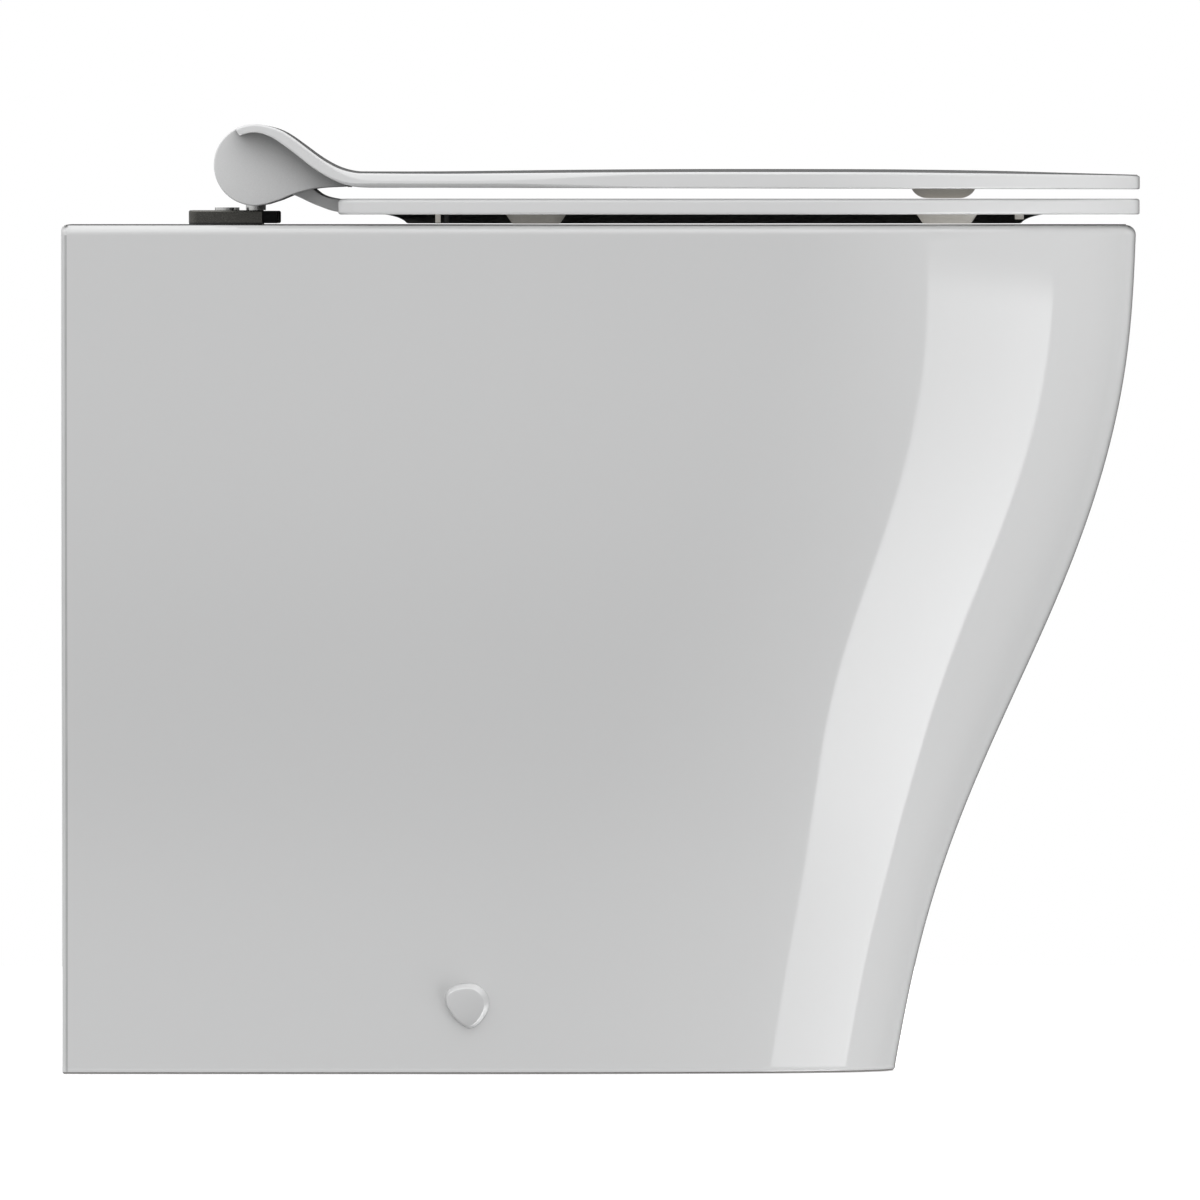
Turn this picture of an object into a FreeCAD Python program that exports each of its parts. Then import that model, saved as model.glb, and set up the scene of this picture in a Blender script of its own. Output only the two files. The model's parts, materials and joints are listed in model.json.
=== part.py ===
import FreeCAD, Part
import os
import math
from FreeCAD import Vector, Placement, Rotation

# Floor-standing, back-to-wall toilet: ceramic pan, slim seat and wave-shaped lid on a
# soft-close roll hinge, with its deck fixings and its hidden floor fixings.
# Millimetres. +X is the front, +Y the left side, +Z up.
# The origin is at the bottom centre of the whole object's box.

doc = FreeCAD.newDocument("floor_standing_toilet")
sheet = doc.addObject("Spreadsheet::Sheet", "Dims")

PARAMS = [
    # pan
    ("back_x", -269.5), ("rim_z", 424.0), ("wall_t", 12.0), ("foot_t", 10.6), ("deck_t", 20.0),
    ("rim_round", 4.0), ("back_round", 2.5),
    ("bowl_t", 10.0),
    ("outlet_z", 180.0), ("outlet_rad", 51.0), ("outlet_bore", 43.0), ("outlet_depth", 45.0), ("horn_x", -236.0),
    ("trap_rad", 30.0), ("trap_t", 9.0),
    ("inlet_z", 335.0), ("inlet_rad", 38.0), ("inlet_bore", 27.5), ("inlet_depth", 56.0), ("inlet_duct", 19.0),
    # hinge line
    ("axis_x", -173.2), ("axis_z", 453.6),
    ("roll_rad", 20.35), ("roll_half", 61.5),
    ("knuckle_rad", 19.8), ("knuckle_clear", 20.3), ("notch_x", -157.5), ("knuckle_in", 62.0), ("knuckle_out", 93.0),
    ("barrel_rad", 15.0), ("barrel_in", 94.0), ("barrel_out", 149.5),
    ("cheek_in", 150.5), ("cheek_out", 168.0), ("lid_half", 179.8), ("cheek_bore_out", 162.5),
    ("pin_rad", 4.0), ("pin_in", 33.0), ("pin_out", 161.0),
    ("bush_bore", 4.06), ("bush_rad", 7.0), ("roll_bore_in", 30.0),
    ("housing_bore", 7.06), ("housing_rad", 12.0), ("housing_cap", 7.0),
    ("rotor_root", 70.0), ("seat_rotor_out", 112.0), ("lid_rotor_in", 42.0), ("lid_rotor_out", 85.0),
    # seat plate
    ("seat_low", 428.9), ("seat_top", 436.75), ("seat_back_x", -131.6), ("seat_half", 178.6),
    ("seat_front_x", 268.9), ("hole_x", 56.0), ("hole_a", 147.0), ("hole_b", 103.0),
    ("lip_low", 424.4), ("lip_top_a", 164.3), ("lip_low_a", 154.2), ("lip_top_b", 119.5), ("lip_low_b", 109.5),
    ("pip_rear_x", -82.0), ("pip_rear_y", 116.0), ("pip_front_x", 208.5), ("pip_front_y", 72.0),
    # lid panel
    ("lid_front_x", 269.5), ("lid_top_front", 448.5), ("lid_low_front", 441.5),
    # hinge base
    ("fix_y", 77.5), ("bolt_x", -188.0), ("peg_x", -175.0),
    ("pad_t", 0.8), ("base_low", 424.8), ("base_top", 431.0), ("base_back", -206.6), ("base_front", -170.0),
    ("base_half", 15.0), ("base_round", 4.0), ("base_edge", 0.9),
    ("peg_rad", 3.0), ("peg_low", 426.0), ("post_rad", 4.5), ("stem_x", -173.6),
    ("button_front", -161.6), ("button_half", 13.0), ("button_low", 425.7), ("button_top", 430.2),
    ("nose_rear", -169.6), ("nose_low", 424.5), ("nose_top", 430.7), ("nose_round", 1.0), ("notch_rear", -172.45),
    ("pocket_gap", 0.35), ("button_travel", 2.5), ("button_rear", -172.0), ("pocket_rear", -174.9),
    ("tine_in", 3.4), ("tine_out", 6.4), ("tine_rear", -179.0),
    # deck bolts
    ("bolt_rad", 4.0), ("bolt_head_rad", 5.6), ("bolt_head_top", 432.4), ("bolt_low", 356.0),
    ("deck_hole", 7.5), ("sleeve_rad", 7.3), ("sleeve_low", 372.0), ("sleeve_bulge", 10.5),
    ("nut_rad", 8.0), ("nut_t", 7.0), ("washer_rad", 9.0), ("washer_t", 1.5),
    # floor fixings
    ("foot_x", -67.5), ("foot_z", 34.0), ("side_hole", 5.4), ("side_sink", 8.6), ("side_sink_depth", 5.0),
    ("bracket_t", 4.0), ("bracket_len", 40.0), ("bracket_height", 56.0), ("bracket_foot", 40.0),
    ("bracket_out", 111.1), ("floor_hole", 4.0), ("floor_hole_y", 90.0),
    ("screw_rad", 3.0), ("screw_head_rad", 6.0), ("screw_head_t", 3.0), ("screw_in", 96.0),
    ("side_nut_rad", 6.5), ("side_nut_t", 5.0),
    ("cap_size", 22.8), ("cap_edge", 1.2), ("cap_dome", 3.4),
    # buffers
    ("buffer_z", 424.3), ("buffer_top_half", 15.0), ("buffer_low_half", 11.7), ("buffer_width", 7.0),
    ("rear_buffer_x", -33.0), ("rear_buffer_y", 138.0), ("front_buffer_x", 172.0), ("front_buffer_y", 121.0),
    ("lid_buffer_x", 171.0), ("lid_buffer_y", 112.0), ("lid_buffer_rad", 15.0), ("lid_buffer_low", 437.05),
    # flush seal
    ("seal_bore", 22.5), ("seal_len", 30.0), ("seal_lip_rad", 33.0), ("seal_lip_t", 4.0),
]

# Plan sections of the pan: height, x of the front tip, and the radius of curvature of the
# outline where its normal is 0, 20, 50 and 90 degrees round from the side to the front.
SECTIONS = [
    (0.0, 146.4, 710.0, 117.0, 97.0, 129.5),
    (60.0, 158.55, 628.0, 124.6, 100.1, 127.3),
    (120.0, 177.11, 545.9, 140.1, 112.0, 120.8),
    (180.0, 202.55, 463.7, 156.3, 135.4, 126.1),
    (240.0, 229.43, 381.6, 163.3, 158.1, 143.8),
    (300.0, 250.83, 299.5, 163.9, 170.6, 161.2),
    (360.0, 263.39, 217.4, 164.1, 179.7, 168.8),
    (424.0, 267.72, 135.3, 168.2, 186.1, 174.7),
]
SEC_KEYS = ("level", "front", "side_radius", "shoulder_radius", "cheek_radius", "tip_radius")

# Wave profile of the lid (x, z): outer line and inner line, from the roll forwards.
LID_OUTER = [(-160.2, 471.2), (-155.4, 468.6), (-150.5, 465.2), (-145.6, 461.6), (-140.7, 458.1),
             (-135.8, 455.1), (-131.0, 452.8), (-126.1, 451.3), (-120.1, 450.5)]
LID_INNER = [(-165.1, 467.5), (-158.6, 463.3), (-152.1, 458.4), (-145.6, 453.2), (-139.1, 448.9),
             (-132.6, 445.4), (-127.7, 443.6), (-122.0, 442.6), (-116.0, 442.3)]
# Lower line of the roll's tail (x, z), from under the roll to the point where it meets the panel.
TAIL = [(-167.8, 433.95), (-164.0, 435.1), (-160.9, 436.1), (-157.3, 437.6), (-154.4, 438.8), (-150.5, 440.1),
        (-145.0, 441.5), (-137.5, 442.4), (-130.0, 442.75), (-126.0, 443.1)]
# Neck of the seat (x, z): lower line from the plate to the barrel.
NECK = [(-128.0, 429.4), (-132.3, 430.3), (-135.8, 431.1), (-139.1, 432.3), (-144.0, 434.2),
        (-148.9, 436.5), (-152.4, 438.1), (-156.0, 439.2), (-161.0, 439.4), (-168.1, 439.5)]
NECK_UP = [(-160.0, 452.0), (-155.0, 450.2), (-150.5, 447.0), (-146.6, 443.8), (-143.3, 441.3),
           (-140.7, 439.3), (-137.5, 437.9), (-133.0, 436.9), (-128.0, 436.3)]
# Bowl: height, centre x, half length, half width of its inner surface.
BOWL = [(424.0, 55.0, 160.0, 115.0), (400.0, 55.0, 160.0, 115.5), (370.0, 54.0, 157.0, 113.0),
        (320.0, 47.0, 143.0, 101.0), (270.0, 32.0, 114.0, 80.0), (220.0, 10.0, 78.0, 57.0),
        (175.0, -10.0, 50.0, 41.0), (140.0, -18.0, 36.0, 34.0)]

row = 0


def put(name, value):
    global row
    row += 1
    sheet.set("A%d" % row, name)
    sheet.set("B%d" % row, repr(float(value)))
    sheet.setAlias("B%d" % row, name)


for name, value in PARAMS:
    put(name, value)
for i, sec in enumerate(SECTIONS):
    for key, value in zip(SEC_KEYS, sec):
        put("%s_%d" % (key, i), value)
for i, sec in enumerate(BOWL):
    for key, value in zip(("bowl_level", "bowl_centre", "bowl_length", "bowl_width"), sec):
        put("%s_%d" % (key, i), value)
for label, table in (("lid_outer", LID_OUTER), ("lid_inner", LID_INNER), ("tail", TAIL),
                     ("neck_low", NECK), ("neck_up", NECK_UP)):
    for i, (px, pz) in enumerate(table):
        put("%s_x_%d" % (label, i), px)
        put("%s_z_%d" % (label, i), pz)
doc.recompute()


def num(name):
    return float(getattr(sheet, name))


def table_xz(label, n):
    return [(num("%s_x_%d" % (label, i)), num("%s_z_%d" % (label, i))) for i in range(n)]


class Q:
    """A size taken from the sheet: its text for a bound property, and its value."""

    def __init__(self, text, value):
        self.text, self.value = text, value

    def __add__(self, other):
        o = lift(other)
        return Q("(%s + %s)" % (self.text, o.text), self.value + o.value)

    def __radd__(self, other):
        return lift(other) + self

    def __sub__(self, other):
        o = lift(other)
        return Q("(%s - %s)" % (self.text, o.text), self.value - o.value)

    def __rsub__(self, other):
        return lift(other) - self

    def __mul__(self, other):
        o = lift(other)
        return Q("(%s * %s)" % (self.text, o.text), self.value * o.value)

    def __rmul__(self, other):
        return lift(other) * self

    def __neg__(self):
        return Q("(0 - %s)" % self.text, -self.value)


def lift(a):
    return a if isinstance(a, Q) else Q("%.6f" % float(a), float(a))


def q(name):
    return Q("Dims." + name, num(name))


def bind(obj, prop, value):
    obj.setExpression(prop, lift(value).text)


def seat_at(obj, x, y, z, rot=None):
    if rot is not None:
        obj.Placement = Placement(Vector(0, 0, 0), rot)
    bind(obj, "Placement.Base.x", x)
    bind(obj, "Placement.Base.y", y)
    bind(obj, "Placement.Base.z", z)


ROT = {
    "z": Rotation(),
    "y": Rotation(Vector(1, 0, 0), -90),
    "-y": Rotation(Vector(1, 0, 0), 90),
    "x": Rotation(Vector(0, 1, 0), 90),
    "-x": Rotation(Vector(0, 1, 0), -90),
}


def cyl(name, rad, length, x, y, z, axis="z"):
    o = doc.addObject("Part::Cylinder", name)
    bind(o, "Radius", rad)
    bind(o, "Height", length)
    seat_at(o, x, y, z, ROT[axis])
    return o


def cone(name, rad1, rad2, length, x, y, z, axis="z"):
    o = doc.addObject("Part::Cone", name)
    bind(o, "Radius1", rad1)
    bind(o, "Radius2", rad2)
    bind(o, "Height", length)
    seat_at(o, x, y, z, ROT[axis])
    return o


def box(name, x0, x1, y0, y1, z0, z1):
    o = doc.addObject("Part::Box", name)
    bind(o, "Length", lift(x1) - x0)
    bind(o, "Width", lift(y1) - y0)
    bind(o, "Height", lift(z1) - z0)
    seat_at(o, x0, y0, z0)
    return o


def fuse(name, parts):
    o = doc.addObject("Part::MultiFuse", name)
    o.Shapes = parts
    o.Refine = True
    return o


def cut(name, base, tool):
    o = doc.addObject("Part::Cut", name)
    o.Base = base
    o.Tool = tool
    o.Refine = True
    return o


def common(name, a, b):
    o = doc.addObject("Part::MultiCommon", name)
    o.Shapes = [a, b]
    return o


def feature(name, shape):
    o = doc.addObject("Part::Feature", name)
    o.Shape = shape
    o.Placement = Placement()
    return o


NODES = []


def node(obj, label):
    obj.Label = label
    NODES.append(obj)
    return obj


def span(side, lo, hi):
    """Lower and upper y of a stretch from lo to hi out from the middle, on one side."""
    return (lift(lo), lift(hi)) if side > 0 else (-lift(hi), -lift(lo))


def ring(name, side, rad, lo, hi):
    """Solid round piece on the hinge line."""
    y0, y1 = span(side, lo, hi)
    return cyl(name, rad, y1 - y0, q("axis_x"), y0, q("axis_z"), "y")


def tube(name, side, rad, bore, lo, hi):
    return cut(name, ring(name + "_body", side, rad, lo, hi),
               ring(name + "_bore", side, bore, lift(lo) - 1, lift(hi) + 1))


# ---------------------------------------------------------------- plan sections of the pan

def natural_spline(xs, ys):
    n = len(xs)
    h = [xs[i + 1] - xs[i] for i in range(n - 1)]
    a = [0.0] * n
    b = [1.0] * n
    c = [0.0] * n
    d = [0.0] * n
    for i in range(1, n - 1):
        a[i] = h[i - 1]
        b[i] = 2 * (h[i - 1] + h[i])
        c[i] = h[i]
        d[i] = 6 * ((ys[i + 1] - ys[i]) / h[i] - (ys[i] - ys[i - 1]) / h[i - 1])
    for i in range(1, n):
        w = a[i] / b[i - 1]
        b[i] -= w * c[i - 1]
        d[i] -= w * d[i - 1]
    m = [0.0] * n
    m[-1] = d[-1] / b[-1]
    for i in range(n - 2, -1, -1):
        m[i] = (d[i] - c[i] * m[i + 1]) / b[i]

    def value(x):
        x = min(max(x, xs[0]), xs[-1])
        k = max(0, min(n - 2, sum(1 for v in xs[1:-1] if x >= v)))
        t0, t1 = xs[k + 1] - x, x - xs[k]
        return (m[k] * t0 ** 3 + m[k + 1] * t1 ** 3) / (6 * h[k]) \
            + (ys[k] / h[k] - m[k] * h[k] / 6) * t0 + (ys[k + 1] / h[k] - m[k + 1] * h[k] / 6) * t1
    return value


LEVELS = [num("level_%d" % i) for i in range(len(SECTIONS))]
CURVES = [natural_spline(LEVELS, [num("%s_%d" % (key, i)) for i in range(len(SECTIONS))])
          for key in SEC_KEYS[1:]]
KNOTS = [math.radians(v) for v in (0.0, 20.0, 50.0, 90.0)]


def outline(z, inset=0.0, front=None, half=None):
    """Half outline of the plan section at z: points by normal angle, side to tip."""
    vals = [f(z) for f in CURVES]
    tip, rho = vals[0], vals[1:]

    def at(phi):
        x, y = tip, 0.0
        for k in range(len(KNOTS) - 2, -1, -1):
            p0, p1 = max(KNOTS[k], phi), KNOTS[k + 1]
            if p1 <= phi:
                break
            slope = (rho[k + 1] - rho[k]) / (KNOTS[k + 1] - KNOTS[k])
            base = rho[k] - slope * KNOTS[k]

            def fx(p):
                return (base + slope * p) * math.sin(p) + slope * math.cos(p)

            def fy(p):
                return -(base + slope * p) * math.cos(p) + slope * math.sin(p)
            x -= fx(p1) - fx(p0)
            y += fy(p1) - fy(p0)
        return x, y

    xs, ys = at(0.0)
    fac = 1.0 if half is None else half / ys
    shift = 0.0 if front is None else front - tip
    pts = []
    for i in range(0, 25):
        phi = math.radians(90.0 * i / 24)
        x, y = at(phi)
        pts.append((x + shift - inset * math.sin(phi), fac * y - inset * math.cos(phi)))
    return pts


def front_wire(z, pts, x_back):
    """Closed outline: straight sides and back, spline round the front."""
    right = [Vector(x, -y, z) for x, y in pts]
    left = [Vector(x, y, z) for x, y in pts[:-1]][::-1]
    curve = Part.BSplineCurve()
    allp = right + left
    step = math.radians(90.0 / 24)
    lead = (allp[1] - allp[0]).Length / step
    curve.interpolate(Points=allp, Parameters=[step * i for i in range(len(allp))],
                      InitialTangent=Vector(lead, 0, 0), FinalTangent=Vector(-lead, 0, 0), Scale=False)
    w = pts[0][1]
    a, b = Vector(x_back, -w, z), Vector(x_back, w, z)
    return Part.Wire([Part.LineSegment(a, allp[0]).toShape(), curve.toShape(),
                      Part.LineSegment(allp[-1], b).toShape(), Part.LineSegment(b, a).toShape()])


def prism(z0, z1, pts, x_back):
    face = Part.Face(front_wire(z0, pts, x_back))
    return face.extrude(Vector(0, 0, z1 - z0))


def round_pipe(points, radii, rad):
    """Round bar along a planar path: straight cylinders joined by torus bends."""
    parts = []
    last = points[0]
    for i in range(1, len(points)):
        p = points[i]
        if i == len(points) - 1:
            run = p - last
            parts.append(Part.makeCylinder(rad, run.Length, last, run))
            break
        u = Vector(points[i - 1] - p).normalize()
        v = Vector(points[i + 1] - p).normalize()
        half = u.getAngle(v) / 2
        r = radii[i - 1]
        reach = r / math.tan(half)
        start, end = p + u * reach, p + v * reach
        run = start - last
        parts.append(Part.makeCylinder(rad, run.Length, last, run))
        centre = p + Vector(u + v).normalize() * (r / math.sin(half))
        axis = Vector(start - centre).cross(Vector(end - centre)).normalize()
        disc = Part.Face(Part.Wire([Part.Circle(start, u, rad).toShape()]))
        parts.append(disc.revolve(centre, axis, math.degrees(math.pi - 2 * half)))
        last = end
    out = parts[0]
    for b in parts[1:]:
        out = out.fuse(b)
    return out.removeSplitter()


def solid_cyl(rad, p, axis, length):
    return Part.makeCylinder(rad, length, p, axis)


# ---------------------------------------------------------------- ceramic pan
back_x, rim_z = num("back_x"), num("rim_z")
wall_t, deck_t = num("wall_t"), num("deck_t")
zs = [0.0, 40.0, 80.0, 120.0, 160.0, 200.0, 240.0, 280.0, 320.0, 360.0, 392.0, rim_z]
outer = Part.makeLoft([front_wire(z, outline(z), back_x - 3) for z in zs], True, False)
edges_top = [e for e in outer.Edges
             if abs(e.BoundBox.ZMin - rim_z) < 0.01 and e.BoundBox.XMax > back_x + 1]
outer = outer.makeFillet(num("rim_round"), edges_top)
outer = outer.Solids[0]
# The back is ground flat, square to the floor, to stand against the wall.
outer = outer.cut(Part.makeBox(20, 500, rim_z + 40, Vector(back_x - 20, -250, -20))).Solids[0]

zi = [-2.0, 40.0, 80.0, 120.0, 160.0, 200.0, 240.0, 280.0, 320.0, 360.0, rim_z - deck_t]
# The skirt wall thins a little towards its foot.
inner = Part.makeLoft([front_wire(z, outline(z, wall_t if z > 0 else num("foot_t")), back_x - 10) for z in zi], True, False)


def bowl_loft(grow, low_extra, top_z):
    wires = []
    for i in range(len(BOWL)):
        z, cx, a, b = [num("%s_%d" % (k, i)) for k in
                       ("bowl_level", "bowl_centre", "bowl_length", "bowl_width")]
        if i == 0:
            z = top_z
        if i == len(BOWL) - 1:
            z -= low_extra
        wires.append(Part.Wire([Part.Ellipse(Vector(cx, 0, z), a + grow, b + grow).toShape()]))
    return Part.makeLoft(wires, True, False)


bowl_t = num("bowl_t")
bowl_in = bowl_loft(0.0, 0.0, rim_z + 1)
bowl_out = bowl_loft(bowl_t, bowl_t, rim_z - 1)

oz, hx = num("outlet_z"), num("horn_x")
trap_run = [Vector(-12, 0, 160), Vector(-62, 0, 160), Vector(-112, 0, 262), Vector(-172, 0, oz), Vector(-208, 0, oz)]
trap_out = round_pipe(trap_run, [42.0, 42.0, 42.0], num("trap_rad") + num("trap_t"))
trap_in = round_pipe(trap_run, [42.0, 42.0, 42.0], num("trap_rad"))
back = Vector(1, 0, 0)
spigot = num("outlet_depth")
horn = solid_cyl(num("outlet_rad"), Vector(hx, 0, oz), back, spigot)
shoulder = Part.makeCone(num("outlet_rad"), num("trap_rad") + num("trap_t"), 15, Vector(hx + spigot, 0, oz), back)
horn_bore = solid_cyl(num("outlet_bore"), Vector(hx - 1, 0, oz), back, spigot)
horn_cone = Part.makeCone(num("outlet_bore"), num("trap_rad"), 18, Vector(hx + spigot - 1.1, 0, oz), back)
iz = num("inlet_z")
inlet = solid_cyl(num("inlet_rad"), Vector(hx, 0, iz), back, 150)
inlet_bore = solid_cyl(num("inlet_bore"), Vector(hx - 1, 0, iz), back, num("inlet_depth") + 1)
inlet_duct = solid_cyl(num("inlet_duct"), Vector(hx + num("inlet_depth") - 1, 0, iz), back, 130)
# Webs tie the outlet, the inlet and the deck together.
joint_z = rim_z - deck_t
web_low = Part.makeBox(36, 12, iz - oz - 20, Vector(hx + 50, -6, oz + 20))
web_high = Part.makeBox(36, 12, joint_z - iz, Vector(hx + 50, -6, iz))

# The pan is slip cast in five sections, stuck together face to face before it is glazed and
# fired: the skirt up to the underside of the deck, the rim and deck, the bowl, the trapway
# with its outlet spigot, and the flush horn.
below = Part.makeBox(700, 500, joint_z + 50, Vector(-350, -250, -50))
above = Part.makeBox(700, 500, 60, Vector(-350, -250, joint_z))
rim_holes, skirt_holes = [bowl_in], [inner]
for s in (-1, 1):
    rim_holes.append(solid_cyl(num("deck_hole"), Vector(num("bolt_x"), s * num("fix_y"), rim_z - deck_t - 5),
                               Vector(0, 0, 1), deck_t + 10))
    fx, fz = num("foot_x"), num("foot_z")
    wide = outline(fz)[0][1]
    skirt_holes.append(solid_cyl(num("side_hole"), Vector(fx, s * (wide - 30), fz), Vector(0, s, 0), 40))
    skirt_holes.append(solid_cyl(num("side_sink"), Vector(fx, s * (wide - num("side_sink_depth")), fz),
                                 Vector(0, s, 0), 12))
SECTION_SOLIDS = (
    ("pan_rim", outer.common(above), rim_holes),
    ("pan_skirt", outer.common(below), skirt_holes),
    ("pan_bowl", bowl_out.common(below), [bowl_in, trap_in, inlet_duct]),
    ("pan_trapway", trap_out.fuse([horn, shoulder, web_low]), [bowl_out, inlet, trap_in, horn_bore, horn_cone]),
    ("pan_flush_horn", inlet.fuse([web_high]), [bowl_out, inlet_bore, inlet_duct]),
)
cast = {}
for label, body, holes in SECTION_SOLIDS:
    piece = body.cut(holes)
    if len(piece.Solids) > 1:
        print(label, "loose bits", sorted(round(b.Volume) for b in piece.Solids))
    piece = max(piece.Solids, key=lambda b: b.Volume)
    cast[label] = piece
    node(feature(label, piece), label)
    print(label, "volume", round(piece.Volume), "valid", piece.isValid())

# ---------------------------------------------------------------- lid
ax, az = num("axis_x"), num("axis_z")
roll = num("roll_rad")


def on_circle(rad, deg):
    a = math.radians(deg)
    return (ax + rad * math.cos(a), az + rad * math.sin(a))


def spline_edge(pts, y, lead=None, trail=None):
    c = Part.BSplineCurve()
    v = [Vector(x, y, z) for x, z in pts]
    if lead is not None:
        c.interpolate(Points=v, InitialTangent=Vector(lead[0], 0, lead[1]),
                      FinalTangent=Vector(trail[0], 0, trail[1]))
    else:
        c.interpolate(Points=v)
    return c.toShape()


def line_edge(a, b, y):
    return Part.LineSegment(Vector(a[0], y, a[1]), Vector(b[0], y, b[1])).toShape()


def arc_edge(rad, d0, d1, y):
    p = [on_circle(rad, d) for d in (d0, 0.5 * (d0 + d1), d1)]
    return Part.Arc(*[Vector(a, y, b) for a, b in p]).toShape()


lid_front = num("lid_front_x")
outer_pts = [on_circle(roll, 82.0)] + table_xz("lid_outer", len(LID_OUTER))
inner_pts = [on_circle(16.2, 95.0)] + table_xz("lid_inner", len(LID_INNER))


def panel_profile(y):
    tan82 = (math.sin(math.radians(82)), -math.cos(math.radians(82)))
    tan95 = (math.sin(math.radians(95)), -math.cos(math.radians(95)))
    flat_top, flat_low = outer_pts[-1], inner_pts[-1]
    end_top = (lid_front + 5, num("lid_top_front"))
    end_low = (lid_front + 5, num("lid_low_front"))
    slope_top = (end_top[0] - flat_top[0], end_top[1] - flat_top[1])
    slope_low = (end_low[0] - flat_low[0], end_low[1] - flat_low[1])
    edges = [
        arc_edge(roll, 118, 82, y),
        spline_edge(outer_pts, y, tan82, slope_top),
        line_edge(flat_top, end_top, y),
        line_edge(end_top, end_low, y),
        line_edge(end_low, flat_low, y),
        spline_edge(inner_pts[::-1], y, (-slope_low[0], -slope_low[1]), (-tan95[0], -tan95[1])),
        arc_edge(16.2, 95, 118, y),
        line_edge(on_circle(16.2, 118), on_circle(roll, 118), y),
    ]
    return Part.Face(Part.Wire(edges))


def tail_profile(y):
    tail = table_xz("tail", len(TAIL))
    start = on_circle(roll, -74.0)
    upper = [(-133.0, 448.0), (-140.0, 452.4), (-147.0, 457.4), (-154.0, 462.6), (-160.0, 467.0)]
    edges = [spline_edge([start] + tail, y), line_edge(tail[-1], upper[0], y)]
    for a, b in zip(upper[:-1], upper[1:]):
        edges.append(line_edge(a, b, y))
    edges.append(line_edge(upper[-1], (ax, az + 14), y))
    edges.append(line_edge((ax, az + 14), (ax, az - 10), y))
    edges.append(line_edge((ax, az - 10), start, y))
    return Part.Face(Part.Wire(edges))


def roll_block(y0, y1):
    wedge = tail_profile(y0).extrude(Vector(0, y1 - y0, 0))
    disc = solid_cyl(roll, Vector(ax, y0, az), Vector(0, 1, 0), y1 - y0)
    return wedge.fuse(disc)


half = num("lid_half")
panel = panel_profile(-half - 5).extrude(Vector(0, 2 * half + 10, 0))
plan = outline(rim_z, 0.0, lid_front, half)
panel = panel.common(prism(400.0, 500.0, plan, -230.0))
for s in (-1, 1):
    y0, y1 = sorted((s * (num("knuckle_in") - 0.5), s * (num("knuckle_out") + 0.5)))
    panel = panel.cut(solid_cyl(num("knuckle_clear"), Vector(ax, y0, az), Vector(0, 1, 0), y1 - y0))
    # the notch is open at the back, so the posts stay clear when the lid is thrown right back
    panel = panel.cut(Part.makeBox(num("notch_x") - ax + 40, y1 - y0, 30, Vector(ax - 40, y0, az)))
rh = num("roll_half")
lid = panel.fuse([roll_block(-rh, rh), roll_block(num("cheek_in"), num("cheek_out")),
                  roll_block(-num("cheek_out"), -num("cheek_in"))])
bores = []
for s in (-1, 1):
    y0, y1 = sorted((s * num("roll_bore_in"), s * (rh + 2)))
    bores.append(solid_cyl(num("bush_rad"), Vector(ax, y0, az), Vector(0, 1, 0), y1 - y0))
    y0, y1 = sorted((s * (num("cheek_in") - 2), s * num("cheek_bore_out")))
    bores.append(solid_cyl(num("bush_rad"), Vector(ax, y0, az), Vector(0, 1, 0), y1 - y0))
lid = lid.cut(bores)
node(feature("lid", lid), "lid")
print("lid", lid.Volume, lid.isValid(), len(lid.Solids), lid.BoundBox)

# ---------------------------------------------------------------- seat
s_low, s_top = num("seat_low"), num("seat_top")
plan = outline(rim_z, 0.0, num("seat_front_x"), num("seat_half"))
plate = prism(s_low, s_top, plan, num("seat_back_x"))
corner = [e for e in plate.Edges if e.BoundBox.ZLength > 5 and e.BoundBox.XMax < num("seat_back_x") + 0.1]
plate = plate.makeFillet(9.0, corner)
hx0 = num("hole_x")


def ellipse_wire(z, cx, a, b):
    return Part.Wire([Part.Ellipse(Vector(cx, 0, z), a, b).toShape()])


lip = Part.makeLoft([ellipse_wire(num("lip_low"), hx0, num("lip_low_a"), num("lip_low_b")),
                     ellipse_wire(s_low + 0.5, hx0, num("lip_top_a"), num("lip_top_b"))], True, True)
opening = Part.makeLoft([ellipse_wire(num("lip_low") - 0.5, hx0, num("hole_a"), num("hole_b")),
                         ellipse_wire(s_top + 0.5, hx0, num("hole_a") + 1.5, num("hole_b") + 1.5)], True, True)
seat = plate.fuse(lip)
# small moulded pips beside the bowl, outside the lip
for s in (-1, 1):
    pip = Part.makeCylinder(1.3, s_low + 0.5 - num("lip_low"), Vector(num("pip_rear_x"), s * num("pip_rear_y"), num("lip_low")))
    stub = Part.makeCylinder(2.2, 3.4, Vector(num("pip_front_x"), s * num("pip_front_y"), s_low + 0.5 - 3.4))
    seat = seat.fuse([pip, stub])
b_in, b_out, b_rad = num("barrel_in"), num("barrel_out"), num("barrel_rad")
for s in (-1, 1):
    y0, y1 = sorted((s * b_in, s * b_out))
    low, up = table_xz("neck_low", len(NECK)), table_xz("neck_up", len(NECK_UP))
    edges = [spline_edge(low, y0), line_edge(low[-1], up[0], y0), spline_edge(up, y0),
             line_edge(up[-1], low[0], y0)]
    neck = Part.Face(Part.Wire(edges)).extrude(Vector(0, y1 - y0, 0))
    barrel = solid_cyl(b_rad, Vector(ax, y0, az), Vector(0, 1, 0), y1 - y0)
    seat = seat.fuse([neck, barrel])
seat = seat.cut([opening] + [solid_cyl(num("bush_rad"), Vector(ax, s * b_in - (0 if s > 0 else 0), az),
                                       Vector(0, s, 0), b_out - b_in) for s in (-1, 1)])
node(feature("seat_ring", seat), "seat_ring")
print("seat", seat.Volume, seat.isValid(), len(seat.Solids), seat.BoundBox)

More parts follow.
